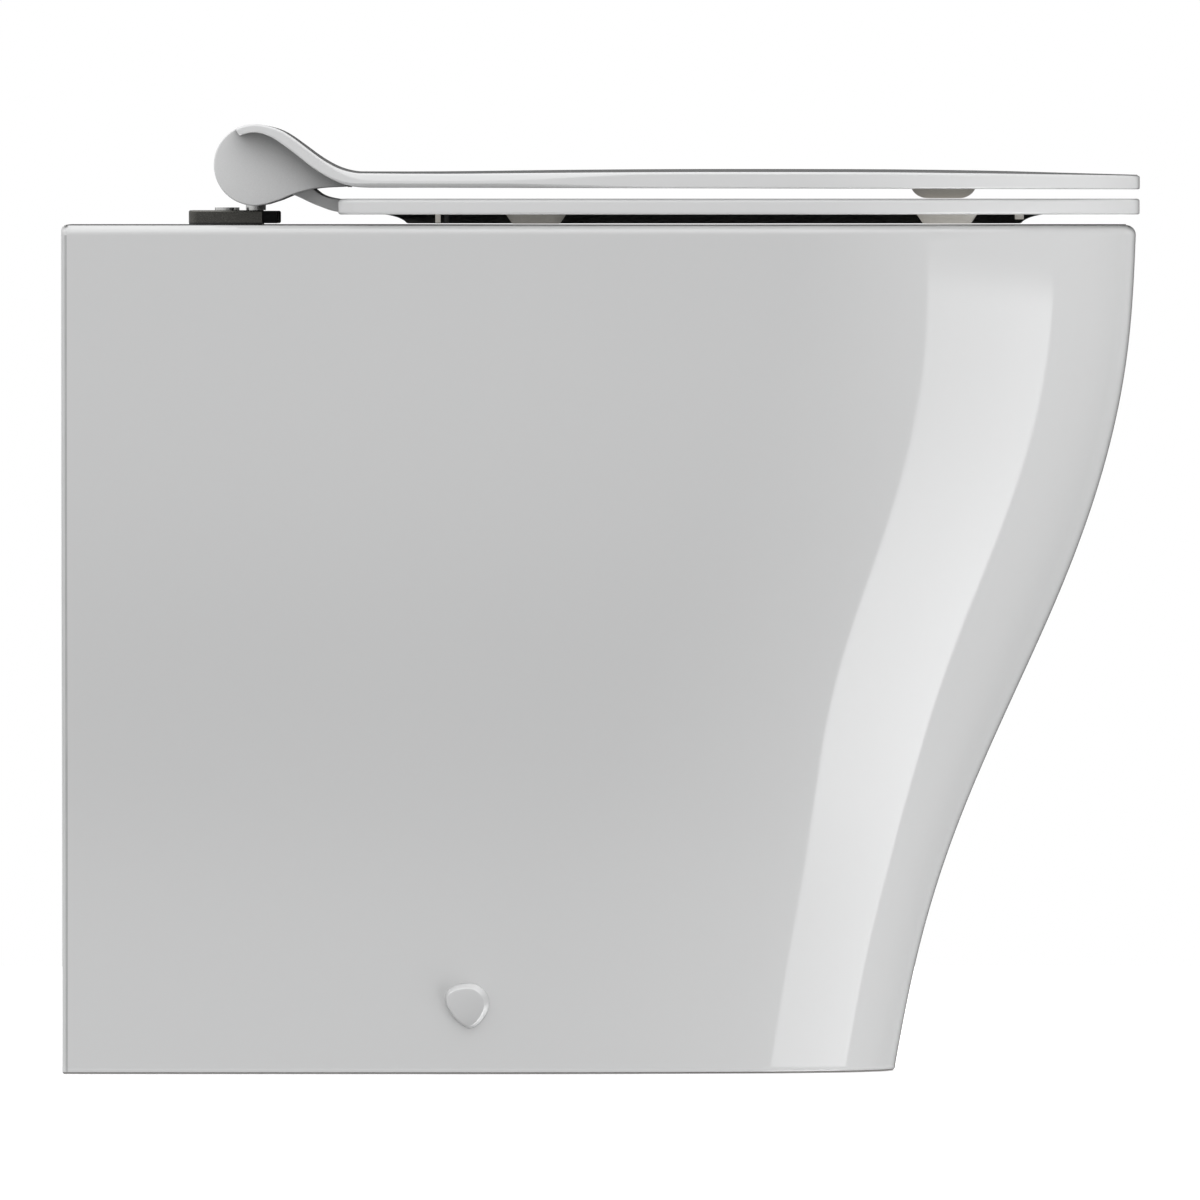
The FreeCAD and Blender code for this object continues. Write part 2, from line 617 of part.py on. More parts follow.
# ---------------------------------------------------------------- hinge hardware
SIDES = ((1, "left"), (-1, "right"))
for s, hand in SIDES:
    fy = q("fix_y") * s
    # dark metal base with a pocket for the button, a socket for the post's peg and a bolt hole
    body = doc.addObject("PartDesign::Body", "base_blank_" + hand)
    sk = body.newObject("Sketcher::SketchObject", "base_outline_" + hand)
    plane = [f for f in body.Origin.OriginFeatures if f.Role == "XY_Plane"][0]
    sk.AttachmentSupport = [(plane, "")]
    sk.MapMode = "FlatFace"
    bx0, bx1 = num("base_back"), num("base_front")
    by0, by1 = s * num("fix_y") - num("base_half"), s * num("fix_y") + num("base_half")
    corners = [Vector(bx0, by0, 0), Vector(bx1, by0, 0), Vector(bx1, by1, 0), Vector(bx0, by1, 0)]
    for i in range(4):
        sk.addGeometry(Part.LineSegment(corners[i], corners[(i + 1) % 4]), False)
    import Sketcher
    for i in range(4):
        sk.addConstraint(Sketcher.Constraint("Coincident", i, 2, (i + 1) % 4, 1))
    for i in (0, 2):
        sk.addConstraint(Sketcher.Constraint("Horizontal", i))
    for i in (1, 3):
        sk.addConstraint(Sketcher.Constraint("Vertical", i))
    for nm, kind, geo, val, ex in (
            ("back", "DistanceX", 0, bx0, q("base_back")), ("low", "DistanceY", 0, by0, fy - q("base_half")),
            ("front", "DistanceX", 2, bx1, q("base_front")), ("high", "DistanceY", 2, by1, fy + q("base_half"))):
        k = sk.addConstraint(Sketcher.Constraint(kind, -1, 1, geo, 1, val))
        sk.renameConstraint(k, nm)
        sk.setExpression("Constraints." + nm, ex.text)
    pad = body.newObject("PartDesign::Pad", "base_block_" + hand)
    pad.Profile = sk
    bind(pad, "Length", q("base_top") - q("base_low"))
    doc.recompute()
    rounds = body.newObject("PartDesign::Fillet", "base_corner_" + hand)
    rounds.Base = (pad, ["Edge%d" % (i + 1) for i, e in enumerate(pad.Shape.Edges)
                         if e.BoundBox.ZLength > 1 and e.BoundBox.XMax < bx0 + 1])
    bind(rounds, "Radius", q("base_round"))
    doc.recompute()
    soft = body.newObject("PartDesign::Fillet", "base_edge_" + hand)
    soft.Base = (rounds, ["Edge%d" % (i + 1) for i, e in enumerate(rounds.Shape.Edges)
                          if e.BoundBox.ZMin > num("base_top") - num("base_low") - 0.01])
    bind(soft, "Radius", q("base_edge"))
    body.Tip = soft
    bind(body, "Placement.Base.z", q("base_low"))
    g = q("pocket_gap")
    pocket = box("base_pocket_" + hand, q("pocket_rear"), q("base_front") + 1,
                 fy - q("button_half") - g, fy + q("button_half") + g, q("button_low") - g, q("button_top") + g)
    slots = [box("base_slot_%s_%d" % (hand, k), q("tine_rear") - q("button_travel") - 0.5, q("pocket_rear") + 0.1,
                 fy + (q("tine_in") - g if k else -q("tine_out") - g), fy + (q("tine_out") + g if k else -q("tine_in") + g),
                 q("button_low") + 1 - g, q("button_top") - 1 + g) for k in (0, 1)]
    # the front is notched right through, so that the button's full-height nose can travel back
    notch = box("base_notch_" + hand, q("notch_rear"), q("base_front") + 1,
                fy - q("button_half") - g, fy + q("button_half") + g, q("base_low") - 1, q("base_top") + 1)
    peg_hole = cyl("base_peg_hole_" + hand, q("peg_rad") + 0.02, 20, q("peg_x"), fy, q("peg_low") - 0.2)
    bolt_hole = cyl("base_bolt_hole_" + hand, q("bolt_rad") + 0.2, 20, q("bolt_x"), fy, 418)
    base = cut("base_cut_" + hand, body, fuse("base_tools_" + hand, [pocket, notch, peg_hole, bolt_hole] + slots))
    node(base, "hinge_base_" + hand)
    # soft pad between base and deck
    pad_blank = box("pad_blank_" + hand, q("base_back") + 0.1, q("base_front") - 0.1,
                    fy - q("base_half") + 0.1, fy + q("base_half") - 0.1, q("rim_z"), q("base_low"))
    pad_round = doc.addObject("Part::Fillet", "pad_round_" + hand)
    doc.recompute()
    pad_round.Base = pad_blank
    pad_round.Edges = [(i + 1, 3.9, 3.9) for i, e in enumerate(pad_blank.Shape.Edges)
                       if e.BoundBox.ZLength > 0.5 and e.BoundBox.XMax < num("base_back") + 1]
    pad_hole = cyl("pad_hole_" + hand, q("bolt_rad") + 1, 20, q("bolt_x"), fy, 418)
    pad_notch = box("pad_notch_" + hand, q("notch_rear"), q("base_front") + 1,
                    fy - q("button_half") - g, fy + q("button_half") + g, 418, 430)
    node(cut("pad_cut_" + hand, pad_round, fuse("pad_tools_" + hand, [pad_hole, pad_notch])), "base_pad_" + hand)
    # release button, with two tines that grip either side of the peg
    press = box("button_head_" + hand, q("button_rear"), q("nose_rear") + 1, fy - q("button_half"),
                fy + q("button_half"), q("button_low"), q("button_top"))
    nose = box("button_nose_" + hand, q("nose_rear"), q("button_front"), fy - q("button_half"),
               fy + q("button_half"), q("nose_low"), q("nose_top"))
    nose_round = doc.addObject("Part::Fillet", "button_round_" + hand)
    doc.recompute()
    nose_round.Base = nose
    nose_round.Edges = [(i + 1, num("nose_round"), num("nose_round")) for i, e in enumerate(nose.Shape.Edges)
                        if e.BoundBox.XMin > num("button_front") - 0.1]
    tines = [box("button_tine_%s_%d" % (hand, k), q("tine_rear"), q("button_rear") + 1,
                 fy + (q("tine_in") if k else -q("tine_out")), fy + (q("tine_out") if k else -q("tine_in")),
                 q("button_low") + 1, q("button_top") - 1) for k in (0, 1)]
    relief = cyl("button_relief_" + hand, q("peg_rad") + q("button_travel") + 0.6, 20, q("peg_x"), fy, 418)
    body_b = fuse("button_body_" + hand, [press, nose_round] + tines)
    node(cut("button_cut_" + hand, body_b, common("button_relief_clip_" + hand, relief,
         box("button_relief_box_" + hand, q("peg_x") - 4, q("peg_x") + 9, fy - q("tine_in"), fy + q("tine_in"), 418, 440))),
         "release_button_" + hand)
    # post: peg, stem and the fixed knuckle round the hinge line
    y0, y1 = span(s, q("knuckle_in"), q("knuckle_out"))
    knuckle = cyl("knuckle_body_" + hand, q("knuckle_rad"), y1 - y0, q("axis_x"), y0, q("axis_z"), "y")
    stem = cyl("post_stem_" + hand, q("post_rad"), q("axis_z") - 15 - q("base_top"), q("stem_x"), fy, q("base_top"))
    peg = cyl("post_peg_" + hand, q("peg_rad"), 8, q("peg_x"), fy, q("peg_low"))
    solid = fuse("post_body_" + hand, [knuckle, stem, peg])
    # on the left the knuckle opens outwards to the seat, on the right it opens inwards to the lid
    if hand == "left":
        well = ring("post_well_" + hand, s, q("housing_rad"), q("knuckle_in") + 3, q("knuckle_out") + 1)
        thru = ring("post_thru_" + hand, s, q("pin_rad"), q("knuckle_in") - 1, q("knuckle_in") + 4)
    else:
        well = ring("post_well_" + hand, s, q("housing_rad"), q("knuckle_in") - 1, q("knuckle_out") - 3)
        thru = ring("post_thru_" + hand, s, q("pin_rad"), q("knuckle_out") - 4, q("knuckle_out") + 1)
    node(cut("post_cut_" + hand, solid, fuse("post_tools_" + hand, [well, thru])), "hinge_post_" + hand)
    # hinge pin
    node(ring("hinge_pin_" + hand, s, q("pin_rad"), q("pin_in"), q("pin_out")), "hinge_pin_" + hand)

# soft-close dampers: each a cup fixed in its knuckle and a hollow rotor that turns in it
cup = ring("seat_cup_blank", 1, q("housing_rad"), q("knuckle_in") + 3, q("knuckle_out"))
cup_well = ring("seat_cup_well", 1, q("housing_bore"), q("rotor_root") - 0.4, q("knuckle_out") + 1)
cup_thru = ring("seat_cup_thru", 1, q("pin_rad"), q("knuckle_in"), q("rotor_root") + 1)
node(cut("seat_cup", cup, fuse("seat_cup_tools", [cup_well, cup_thru])), "seat_damper_housing")
node(tube("seat_rotor", 1, q("bush_rad"), q("bush_bore"), q("rotor_root"), q("seat_rotor_out")), "seat_damper_rotor")
cup = ring("lid_cup_blank", -1, q("housing_rad"), q("knuckle_in"), q("knuckle_out") - 3)
cup_well = ring("lid_cup_well", -1, q("housing_bore"), q("knuckle_in") - 1, q("lid_rotor_out") + 0.4)
cup_thru = ring("lid_cup_thru", -1, q("pin_rad"), q("lid_rotor_out") - 1, q("knuckle_out"))
node(cut("lid_cup", cup, fuse("lid_cup_tools", [cup_well, cup_thru])), "lid_damper_housing")
node(tube("lid_rotor", -1, q("bush_rad"), q("bush_bore"), q("lid_rotor_in"), q("lid_rotor_out")), "lid_damper_rotor")

# plain bushes
node(tube("seat_bush_l", 1, q("bush_rad"), q("bush_bore"), q("seat_rotor_out"), q("barrel_out")), "seat_bush_left")
node(tube("seat_bush_r", -1, q("bush_rad"), q("bush_bore"), q("barrel_in"), q("barrel_out")), "seat_bush_right")
node(tube("lid_bush_l", 1, q("bush_rad"), q("bush_bore"), q("roll_bore_in") + 0.2, q("roll_half")), "lid_bush_left")
node(tube("lid_bush_r", -1, q("bush_rad"), q("bush_bore"), q("roll_bore_in") + 0.2, q("lid_rotor_in")), "lid_bush_right")
node(tube("cheek_bush_l", 1, q("bush_rad"), q("bush_bore"), q("cheek_in"), q("cheek_bore_out") - 0.2), "cheek_bush_left")
node(tube("cheek_bush_r", -1, q("bush_rad"), q("bush_bore"), q("cheek_in"), q("cheek_bore_out") - 0.2), "cheek_bush_right")

# ---------------------------------------------------------------- deck fixings, two of each
bolts, sleeves, nuts, washers = [], [], [], []
for s, hand in SIDES:
    fy = q("fix_y") * s
    shank = cyl("bolt_shank_" + hand, q("bolt_rad"), q("base_top") - q("bolt_low"), q("bolt_x"), fy, q("bolt_low"))
    head = cyl("bolt_head_" + hand, q("bolt_head_rad"), q("bolt_head_top") - q("base_top"), q("bolt_x"), fy, q("base_top"))
    drive = doc.addObject("Part::Prism", "bolt_drive_" + hand)
    drive.Polygon = 6
    bind(drive, "Circumradius", 2.6)
    bind(drive, "Height", 3)
    seat_at(drive, q("bolt_x"), fy, q("bolt_head_top") - 1.1)
    bolts.append(cut("bolt_" + hand, fuse("bolt_solid_" + hand, [shank, head]), drive))
    plug = cyl("sleeve_plug_" + hand, q("sleeve_rad"), q("rim_z") - q("deck_t") - q("sleeve_low"), q("bolt_x"), fy, q("sleeve_low"))
    neck = cyl("sleeve_neck_" + hand, q("sleeve_rad"), q("deck_t"), q("bolt_x"), fy, q("rim_z") - q("deck_t"))
    bulge = cone("sleeve_bulge_" + hand, q("sleeve_rad"), q("sleeve_bulge"), 8, q("bolt_x"), fy, q("sleeve_low") + 8)
    bulge2 = cone("sleeve_bulge2_" + hand, q("sleeve_bulge"), q("sleeve_rad"), 8, q("bolt_x"), fy, q("sleeve_low") + 16)
    bore = cyl("sleeve_bore_" + hand, q("bolt_rad") + 0.1, 90, q("bolt_x"), fy, 350)
    sleeves.append(cut("sleeve_" + hand, fuse("sleeve_solid_" + hand, [plug, neck, bulge, bulge2]), bore))
    wash = cyl("washer_body_" + hand, q("washer_rad"), q("washer_t"), q("bolt_x"), fy, q("sleeve_low") - q("washer_t"))
    washers.append(cut("washer_" + hand, wash, cyl("washer_bore_" + hand, q("bolt_rad") + 0.2, 20, q("bolt_x"), fy, 360)))
    hexa = doc.addObject("Part::Prism", "nut_body_" + hand)
    hexa.Polygon = 6
    bind(hexa, "Circumradius", q("nut_rad"))
    bind(hexa, "Height", q("nut_t"))
    seat_at(hexa, q("bolt_x"), fy, q("sleeve_low") - q("washer_t") - q("nut_t"))
    nuts.append(cut("nut_" + hand, hexa, cyl("nut_bore_" + hand, q("bolt_rad"), 20, q("bolt_x"), fy, 355)))


def group(name, parts, label):
    o = doc.addObject("Part::Compound", name)
    o.Links = parts
    return node(o, label)


group("bolts", bolts, "seat_fixing_bolts")
group("sleeves", sleeves, "expanding_sleeves")
group("washers", washers, "sleeve_washers")
group("nuts", nuts, "sleeve_nuts")

# ---------------------------------------------------------------- floor fixings
side_w = outline(num("foot_z"))[0][1]
q_side = Q("%.6f" % side_w, side_w)
screws, screw_sleeves, side_nuts = [], [], []
for s, hand in SIDES:
    ax_dir = "y" if s > 0 else "-y"
    bo, bt = q("bracket_out"), q("bracket_t")
    x0, x1 = q("foot_x") - q("bracket_len") * 0.5, q("foot_x") + q("bracket_len") * 0.5
    y0, y1 = span(s, bo - bt, bo)
    wall = box("bracket_wall_" + hand, x0, x1, y0, y1, 0, q("bracket_height"))
    y0, y1 = span(s, bo - q("bracket_foot"), bo)
    foot = box("bracket_foot_" + hand, x0, x1, y0, y1, 0, bt)
    ribs = []
    for k, xr in enumerate((x0, x1 - bt)):
        wedge = doc.addObject("Part::Wedge", "bracket_rib_%s_%d" % (hand, k))
        # triangular gusset between foot and wall
        bind(wedge, "Xmin", 0)
        bind(wedge, "Ymin", 0)
        bind(wedge, "Zmin", 0)
        bind(wedge, "X2min", 0)
        bind(wedge, "Z2min", 0)
        bind(wedge, "Xmax", q("bracket_foot") - bt)
        bind(wedge, "Ymax", q("bracket_height") - 14)
        bind(wedge, "Zmax", bt)
        bind(wedge, "X2max", 0.5)
        bind(wedge, "Z2max", bt)
        # local x runs in towards the middle, local y up, local z along the wall
        if s > 0:
            wedge.Placement = Placement(Vector(0, 0, 0), Rotation(Vector(0, -1, 0), Vector(0, 0, 1), Vector(-1, 0, 0), "XYZ"))
            seat_at(wedge, xr + bt, bo - bt, bt)
        else:
            wedge.Placement = Placement(Vector(0, 0, 0), Rotation(Vector(0, 1, 0), Vector(0, 0, 1), Vector(1, 0, 0), "XYZ"))
            seat_at(wedge, xr, -(bo - bt), bt)
        ribs.append(wedge)
    hole_f = cyl("bracket_hole_f_" + hand, q("floor_hole"), 20, q("foot_x"), q("floor_hole_y") * s, -5)
    hole_s = cyl("bracket_hole_s_" + hand, q("screw_rad") + 0.3, 30, q("foot_x"), (bo - 15) * s, q("foot_z"), ax_dir)
    node(cut("bracket_cut_" + hand, fuse("bracket_body_" + hand, [wall, foot] + ribs),
             fuse("bracket_tools_" + hand, [hole_f, hole_s])), "floor_bracket_" + hand)
    # side screw: head in the sunk hole of the skirt, thread into the nut behind the bracket
    sink = q_side - q("side_sink_depth")
    shank = cyl("side_shank_" + hand, q("screw_rad"), sink + 1 - q("screw_in"), q("foot_x"), q("screw_in") * s, q("foot_z"), ax_dir)
    head = cyl("side_head_" + hand, q("screw_head_rad"), q("screw_head_t"), q("foot_x"), (sink + 1) * s, q("foot_z"), ax_dir)
    slot = box("side_slot_" + hand, q("foot_x") - 4.2, q("foot_x") + 4.2, (sink + 4) * s - 1.4, (sink + 4) * s + 1.4,
               q("foot_z") - 0.7, q("foot_z") + 0.7)
    screws.append(cut("side_screw_" + hand, fuse("side_screw_solid_" + hand, [shank, head]), slot))
    collar = cyl("collar_flange_" + hand, q("side_sink") - 0.6, 1, q("foot_x"), sink * s, q("foot_z"), ax_dir)
    stem = cyl("collar_stem_" + hand, q("side_hole") - 0.1, 7, q("foot_x"), (sink - 6.5) * s, q("foot_z"), ax_dir)
    screw_sleeves.append(cut("collar_" + hand, fuse("collar_solid_" + hand, [collar, stem]),
                             cyl("collar_bore_" + hand, q("screw_rad") + 0.1, 40, q("foot_x"), (sink - 20) * s, q("foot_z"), ax_dir)))
    nut = doc.addObject("Part::Prism", "side_nut_body_" + hand)
    nut.Polygon = 6
    bind(nut, "Circumradius", q("side_nut_rad"))
    bind(nut, "Height", q("side_nut_t"))
    seat_at(nut, q("foot_x"), (bo - bt - q("side_nut_t")) * s, q("foot_z"), ROT[ax_dir])
    side_nuts.append(cut("side_nut_" + hand, nut, cyl("side_nut_bore_" + hand, q("screw_rad"), 30, q("foot_x"),
                                                      (bo - 25) * s, q("foot_z"), ax_dir)))
group("side_screw_pair", screws, "side_screws")
group("collar_pair", screw_sleeves, "screw_collars")
group("side_nut_pair", side_nuts, "side_nuts")

# cover caps: rounded shield with its point down, thin rim and low dome
for s, hand in SIDES:
    size = num("cap_size")
    shield = [(0.0, 0.5), (0.2, 0.497), (0.36, 0.455), (0.465, 0.35), (0.5, 0.19), (0.47, 0.02), (0.385, -0.16),
              (0.255, -0.33), (0.12, -0.46), (0.0, -0.5)]
    right = [Vector(num("foot_x") + size * u, 0, num("foot_z") + size * v) for u, v in shield]
    left = [Vector(num("foot_x") - size * u, 0, num("foot_z") + size * v) for u, v in shield[1:-1]][::-1]
    loop = Part.BSplineCurve()
    loop.interpolate(Points=right + left, PeriodicFlag=True)
    face = Part.Face(Part.Wire([loop.toShape()]))
    deep = face.extrude(Vector(0, 10, 0))
    deep.translate(Vector(0, side_w - 0.3, 0))
    edge, dome = num("cap_edge"), num("cap_dome")
    reach = size * 0.52
    ball_r = (reach ** 2 + (dome - edge) ** 2) / (2 * (dome - edge))
    ball = Part.makeSphere(ball_r, Vector(num("foot_x"), side_w + dome - ball_r, num("foot_z")))
    cap = deep.common(ball)
    if cap.BoundBox.YMax < side_w + 1:
        raise RuntimeError("cap dome missed")
    cap = Part.Solid(cap.Solids[0])
    boss = solid_cyl(num("side_sink") - 0.25, Vector(num("foot_x"), side_w - 0.5, num("foot_z")), Vector(0, 1, 0), 1.0)
    cap = cap.fuse(boss)
    cap = cap.cut(cast["pan_skirt"])
    if s < 0:
        cap = cap.mirror(Vector(0, 0, 0), Vector(0, 1, 0))
    node(feature("cover_cap_" + hand, cap), "cover_cap_" + hand)

# ---------------------------------------------------------------- buffers
def seat_buffer(name, x, y, turn):
    """Tapered block, long way along x, turned with the rim."""
    bz, top = num("buffer_z"), num("seat_low")

    def loop_at(z, ha, hb):
        r = hb * 0.98
        a = ha - r
        e = [Part.LineSegment(Vector(-a, -hb, z), Vector(a, -hb, z)).toShape(),
             Part.Arc(Vector(a, -hb, z), Vector(a + hb, 0, z), Vector(a, hb, z)).toShape(),
             Part.LineSegment(Vector(a, hb, z), Vector(-a, hb, z)).toShape(),
             Part.Arc(Vector(-a, hb, z), Vector(-a - hb, 0, z), Vector(-a, -hb, z)).toShape()]
        return Part.Wire(e)
    th, tl, w = num("buffer_top_half"), num("buffer_low_half"), num("buffer_width")
    shape = Part.makeLoft([loop_at(bz, tl, w - 1.5), loop_at(top, th, w)], True, True)
    o = doc.addObject("Part::Feature", name)
    o.Shape = shape
    o.Placement = Placement(Vector(x, y, 0), Rotation(Vector(0, 0, 1), turn))
    return o


node(seat_buffer("seat_buffer_rear_left", num("rear_buffer_x"), num("rear_buffer_y"), 0), "seat_buffer_rear_left")
node(seat_buffer("seat_buffer_rear_right", num("rear_buffer_x"), -num("rear_buffer_y"), 0), "seat_buffer_rear_right")
node(seat_buffer("seat_buffer_front_left", num("front_buffer_x"), num("front_buffer_y"), 0), "seat_buffer_front_left")
node(seat_buffer("seat_buffer_front_right", num("front_buffer_x"), -num("front_buffer_y"), 0), "seat_buffer_front_right")

lid_slope = (num("lid_low_front") - LID_INNER[-1][1]) / (lid_front + 5 - LID_INNER[-1][0])
under_z = LID_INNER[-1][1] + lid_slope * (num("lid_buffer_x") - LID_INNER[-1][0])
for s, hand in SIDES:
    lr, lz = num("lid_buffer_rad"), num("lid_buffer_low")
    depth = under_z - lz + 0.15
    big = (10.5 ** 2 - lr ** 2 + depth ** 2) / (2 * depth)
    # bowl-shaped disc: flat foot of 10.5 mm radius, rising to its full radius at the lid
    rs = [Vector(0, 0, lz), Vector(9.0, 0, lz), Vector(11.8, 0, lz + 0.9), Vector(13.9, 0, lz + 2.6),
          Vector(lr, 0, lz + depth), Vector(0, 0, lz + depth)]
    bowl_edge = Part.BSplineCurve()
    bowl_edge.interpolate(Points=rs[1:5])
    prof = Part.Wire([Part.LineSegment(rs[0], rs[1]).toShape(), bowl_edge.toShape(),
                      Part.LineSegment(rs[4], rs[5]).toShape(), Part.LineSegment(rs[5], rs[0]).toShape()])
    disc = Part.Face(prof).revolve(Vector(0, 0, 0), Vector(0, 0, 1), 360)
    disc = Part.Solid(disc) if disc.ShapeType != "Solid" else disc
    disc.translate(Vector(num("lid_buffer_x"), s * num("lid_buffer_y"), 0))
    disc = disc.cut(lid)
    node(feature("lid_buffer_" + hand, disc), "lid_buffer_" + hand)

# ---------------------------------------------------------------- flush inlet seal
seal_tube = cut("seal_tube", cyl("seal_body", q("inlet_bore"), q("seal_len"), q("horn_x"), 0, q("inlet_z"), "x"),
                cyl("seal_bore_cut", q("seal_bore"), q("seal_len") + 20, q("horn_x") - 10, 0, q("inlet_z"), "x"))
seal_lip = cut("seal_lip", cyl("seal_lip_body", q("seal_lip_rad"), q("seal_lip_t"), q("horn_x") - q("seal_lip_t"), 0, q("inlet_z"), "x"),
               cyl("seal_lip_bore", q("seal_bore"), 20, q("horn_x") - 12, 0, q("inlet_z"), "x"))
node(fuse("seal", [seal_tube, seal_lip]), "flush_inlet_seal")

# ---------------------------------------------------------------- check and write
doc.recompute()
bad = []
for o in doc.Objects:
    if "Invalid" in o.State or "Error" in o.State:
        bad.append("%s %s" % (o.Name, o.State))
for o in NODES:
    if o.Shape.isNull() or not o.Shape.isValid() or not o.Shape.Solids:
        bad.append("bad shape: " + o.Label)
if bad:
    raise RuntimeError("; ".join(bad))

os.makedirs("parts", exist_ok=True)
for o in NODES:
    o.Shape.exportStep(os.path.join("parts", o.Label + ".step"))
    b = o.Shape.BoundBox
    print("%-26s solids %d vol %9.1f  x %.1f..%.1f y %.1f..%.1f z %.1f..%.1f" % (
        o.Label, len(o.Shape.Solids), o.Shape.Volume / 1000.0, b.XMin, b.XMax, b.YMin, b.YMax, b.ZMin, b.ZMax))
print("nodes", len(NODES))
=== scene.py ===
import json
import math

import bmesh
import bpy
import numpy as np
from mathutils import Matrix, Vector


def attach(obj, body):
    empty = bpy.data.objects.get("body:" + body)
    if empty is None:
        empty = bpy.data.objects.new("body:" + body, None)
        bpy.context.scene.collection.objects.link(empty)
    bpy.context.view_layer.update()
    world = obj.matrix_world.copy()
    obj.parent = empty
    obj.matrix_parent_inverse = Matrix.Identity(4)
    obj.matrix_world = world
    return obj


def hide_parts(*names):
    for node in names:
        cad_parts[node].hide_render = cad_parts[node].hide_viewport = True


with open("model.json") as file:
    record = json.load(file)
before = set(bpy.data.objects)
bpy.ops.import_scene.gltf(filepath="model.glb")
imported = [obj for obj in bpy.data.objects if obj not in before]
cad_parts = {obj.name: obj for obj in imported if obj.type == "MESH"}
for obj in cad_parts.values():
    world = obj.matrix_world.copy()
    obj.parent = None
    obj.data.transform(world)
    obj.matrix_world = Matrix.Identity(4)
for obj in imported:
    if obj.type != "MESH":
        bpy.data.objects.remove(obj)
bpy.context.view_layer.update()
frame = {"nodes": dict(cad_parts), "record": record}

MM = 0.001

# ------------------------------------------------------------------ sizes, in millimetres
BACK_X, RIM_Z, WALL, DECK, CROWN = -269.5, 424.0, 12.0, 20.0, 0.45
AX, AZ, ROLL = -173.2, 453.6, 20.35
SECTIONS = [
    (0.0, 146.4, 710.0, 117.0, 97.0, 129.5),
    (60.0, 158.55, 628.0, 124.6, 100.1, 127.3),
    (120.0, 177.11, 545.9, 140.1, 112.0, 120.8),
    (180.0, 202.55, 463.7, 156.3, 135.4, 126.1),
    (240.0, 229.43, 381.6, 163.3, 158.1, 143.8),
    (300.0, 250.83, 299.5, 163.9, 170.6, 161.2),
    (360.0, 263.39, 217.4, 164.1, 179.7, 168.8),
    (424.0, 267.72, 135.3, 168.2, 186.1, 174.7),
]
BOWL = [(424.0, 55.0, 160.0, 115.0), (400.0, 55.0, 160.0, 115.5), (370.0, 54.0, 157.0, 113.0),
        (320.0, 47.0, 143.0, 101.0), (270.0, 32.0, 114.0, 80.0), (220.0, 10.0, 78.0, 57.0),
        (175.0, -10.0, 50.0, 41.0), (140.0, -18.0, 36.0, 34.0)]
LID_OUTER = [(-160.2, 471.2), (-155.4, 468.6), (-150.5, 465.2), (-145.6, 461.6), (-140.7, 458.1),
             (-135.8, 455.1), (-131.0, 452.8), (-126.1, 451.3), (-120.1, 450.5)]
LID_INNER = [(-165.1, 467.5), (-158.6, 463.3), (-152.1, 458.4), (-145.6, 453.2), (-139.1, 448.9),
             (-132.6, 445.4), (-127.7, 443.6), (-122.0, 442.6), (-116.0, 442.3)]
TAIL = [(-167.8, 433.95), (-164.0, 435.1), (-160.9, 436.1), (-157.3, 437.6), (-154.4, 438.8), (-150.5, 440.1),
        (-145.0, 441.5), (-137.5, 442.4), (-130.0, 442.75), (-126.0, 443.1)]
NECK = [(-128.0, 429.4), (-132.3, 430.3), (-135.8, 431.1), (-139.1, 432.3), (-144.0, 434.2),
        (-148.9, 436.5), (-152.4, 438.1), (-156.0, 439.2), (-161.0, 439.4), (-168.1, 439.5)]
NECK_UP = [(-160.0, 452.0), (-155.0, 450.2), (-150.5, 447.0), (-146.6, 443.8), (-143.3, 441.3),
           (-140.7, 439.3), (-137.5, 437.9), (-133.0, 436.9), (-128.0, 436.3)]


# ------------------------------------------------------------------ curves
def natural_spline(xs, ys):
    n = len(xs)
    h = np.diff(xs)
    m = np.zeros(n)
    if n > 2:
        a = np.zeros((n, n))
        d = np.zeros(n)
        a[0, 0] = a[-1, -1] = 1.0
        for i in range(1, n - 1):
            a[i, i - 1], a[i, i], a[i, i + 1] = h[i - 1], 2 * (h[i - 1] + h[i]), h[i]
            d[i] = 6 * ((ys[i + 1] - ys[i]) / h[i] - (ys[i] - ys[i - 1]) / h[i - 1])
        m = np.linalg.solve(a, d)

    def value(x):
        x = min(max(x, xs[0]), xs[-1])
        k = int(np.clip(np.searchsorted(xs, x, side="right") - 1, 0, n - 2))
        t0, t1 = xs[k + 1] - x, x - xs[k]
        return (m[k] * t0 ** 3 + m[k + 1] * t1 ** 3) / (6 * h[k]) \
            + (ys[k] / h[k] - m[k] * h[k] / 6) * t0 + (ys[k + 1] / h[k] - m[k + 1] * h[k] / 6) * t1
    return value


LEVELS = [s[0] for s in SECTIONS]
CURVES = [natural_spline(LEVELS, [s[k] for s in SECTIONS]) for k in range(1, 6)]
KNOTS = [math.radians(v) for v in (0.0, 20.0, 50.0, 90.0)]


def outline_point(z, phi):
    """Point of the plan section at height z where its outward normal is phi round from the side."""
    vals = [f(z) for f in CURVES]
    x, y, rho = vals[0], 0.0, vals[1:]
    for k in range(2, -1, -1):
        p0, p1 = max(KNOTS[k], phi), KNOTS[k + 1]
        if p1 <= phi:
            break
        b = (rho[k + 1] - rho[k]) / (KNOTS[k + 1] - KNOTS[k])
        a = rho[k] - b * KNOTS[k]
        x -= ((a + b * p1) * math.sin(p1) + b * math.cos(p1)) - ((a + b * p0) * math.sin(p0) + b * math.cos(p0))
        y += (-(a + b * p1) * math.cos(p1) + b * math.sin(p1)) - (-(a + b * p0) * math.cos(p0) + b * math.sin(p0))
    return x, y


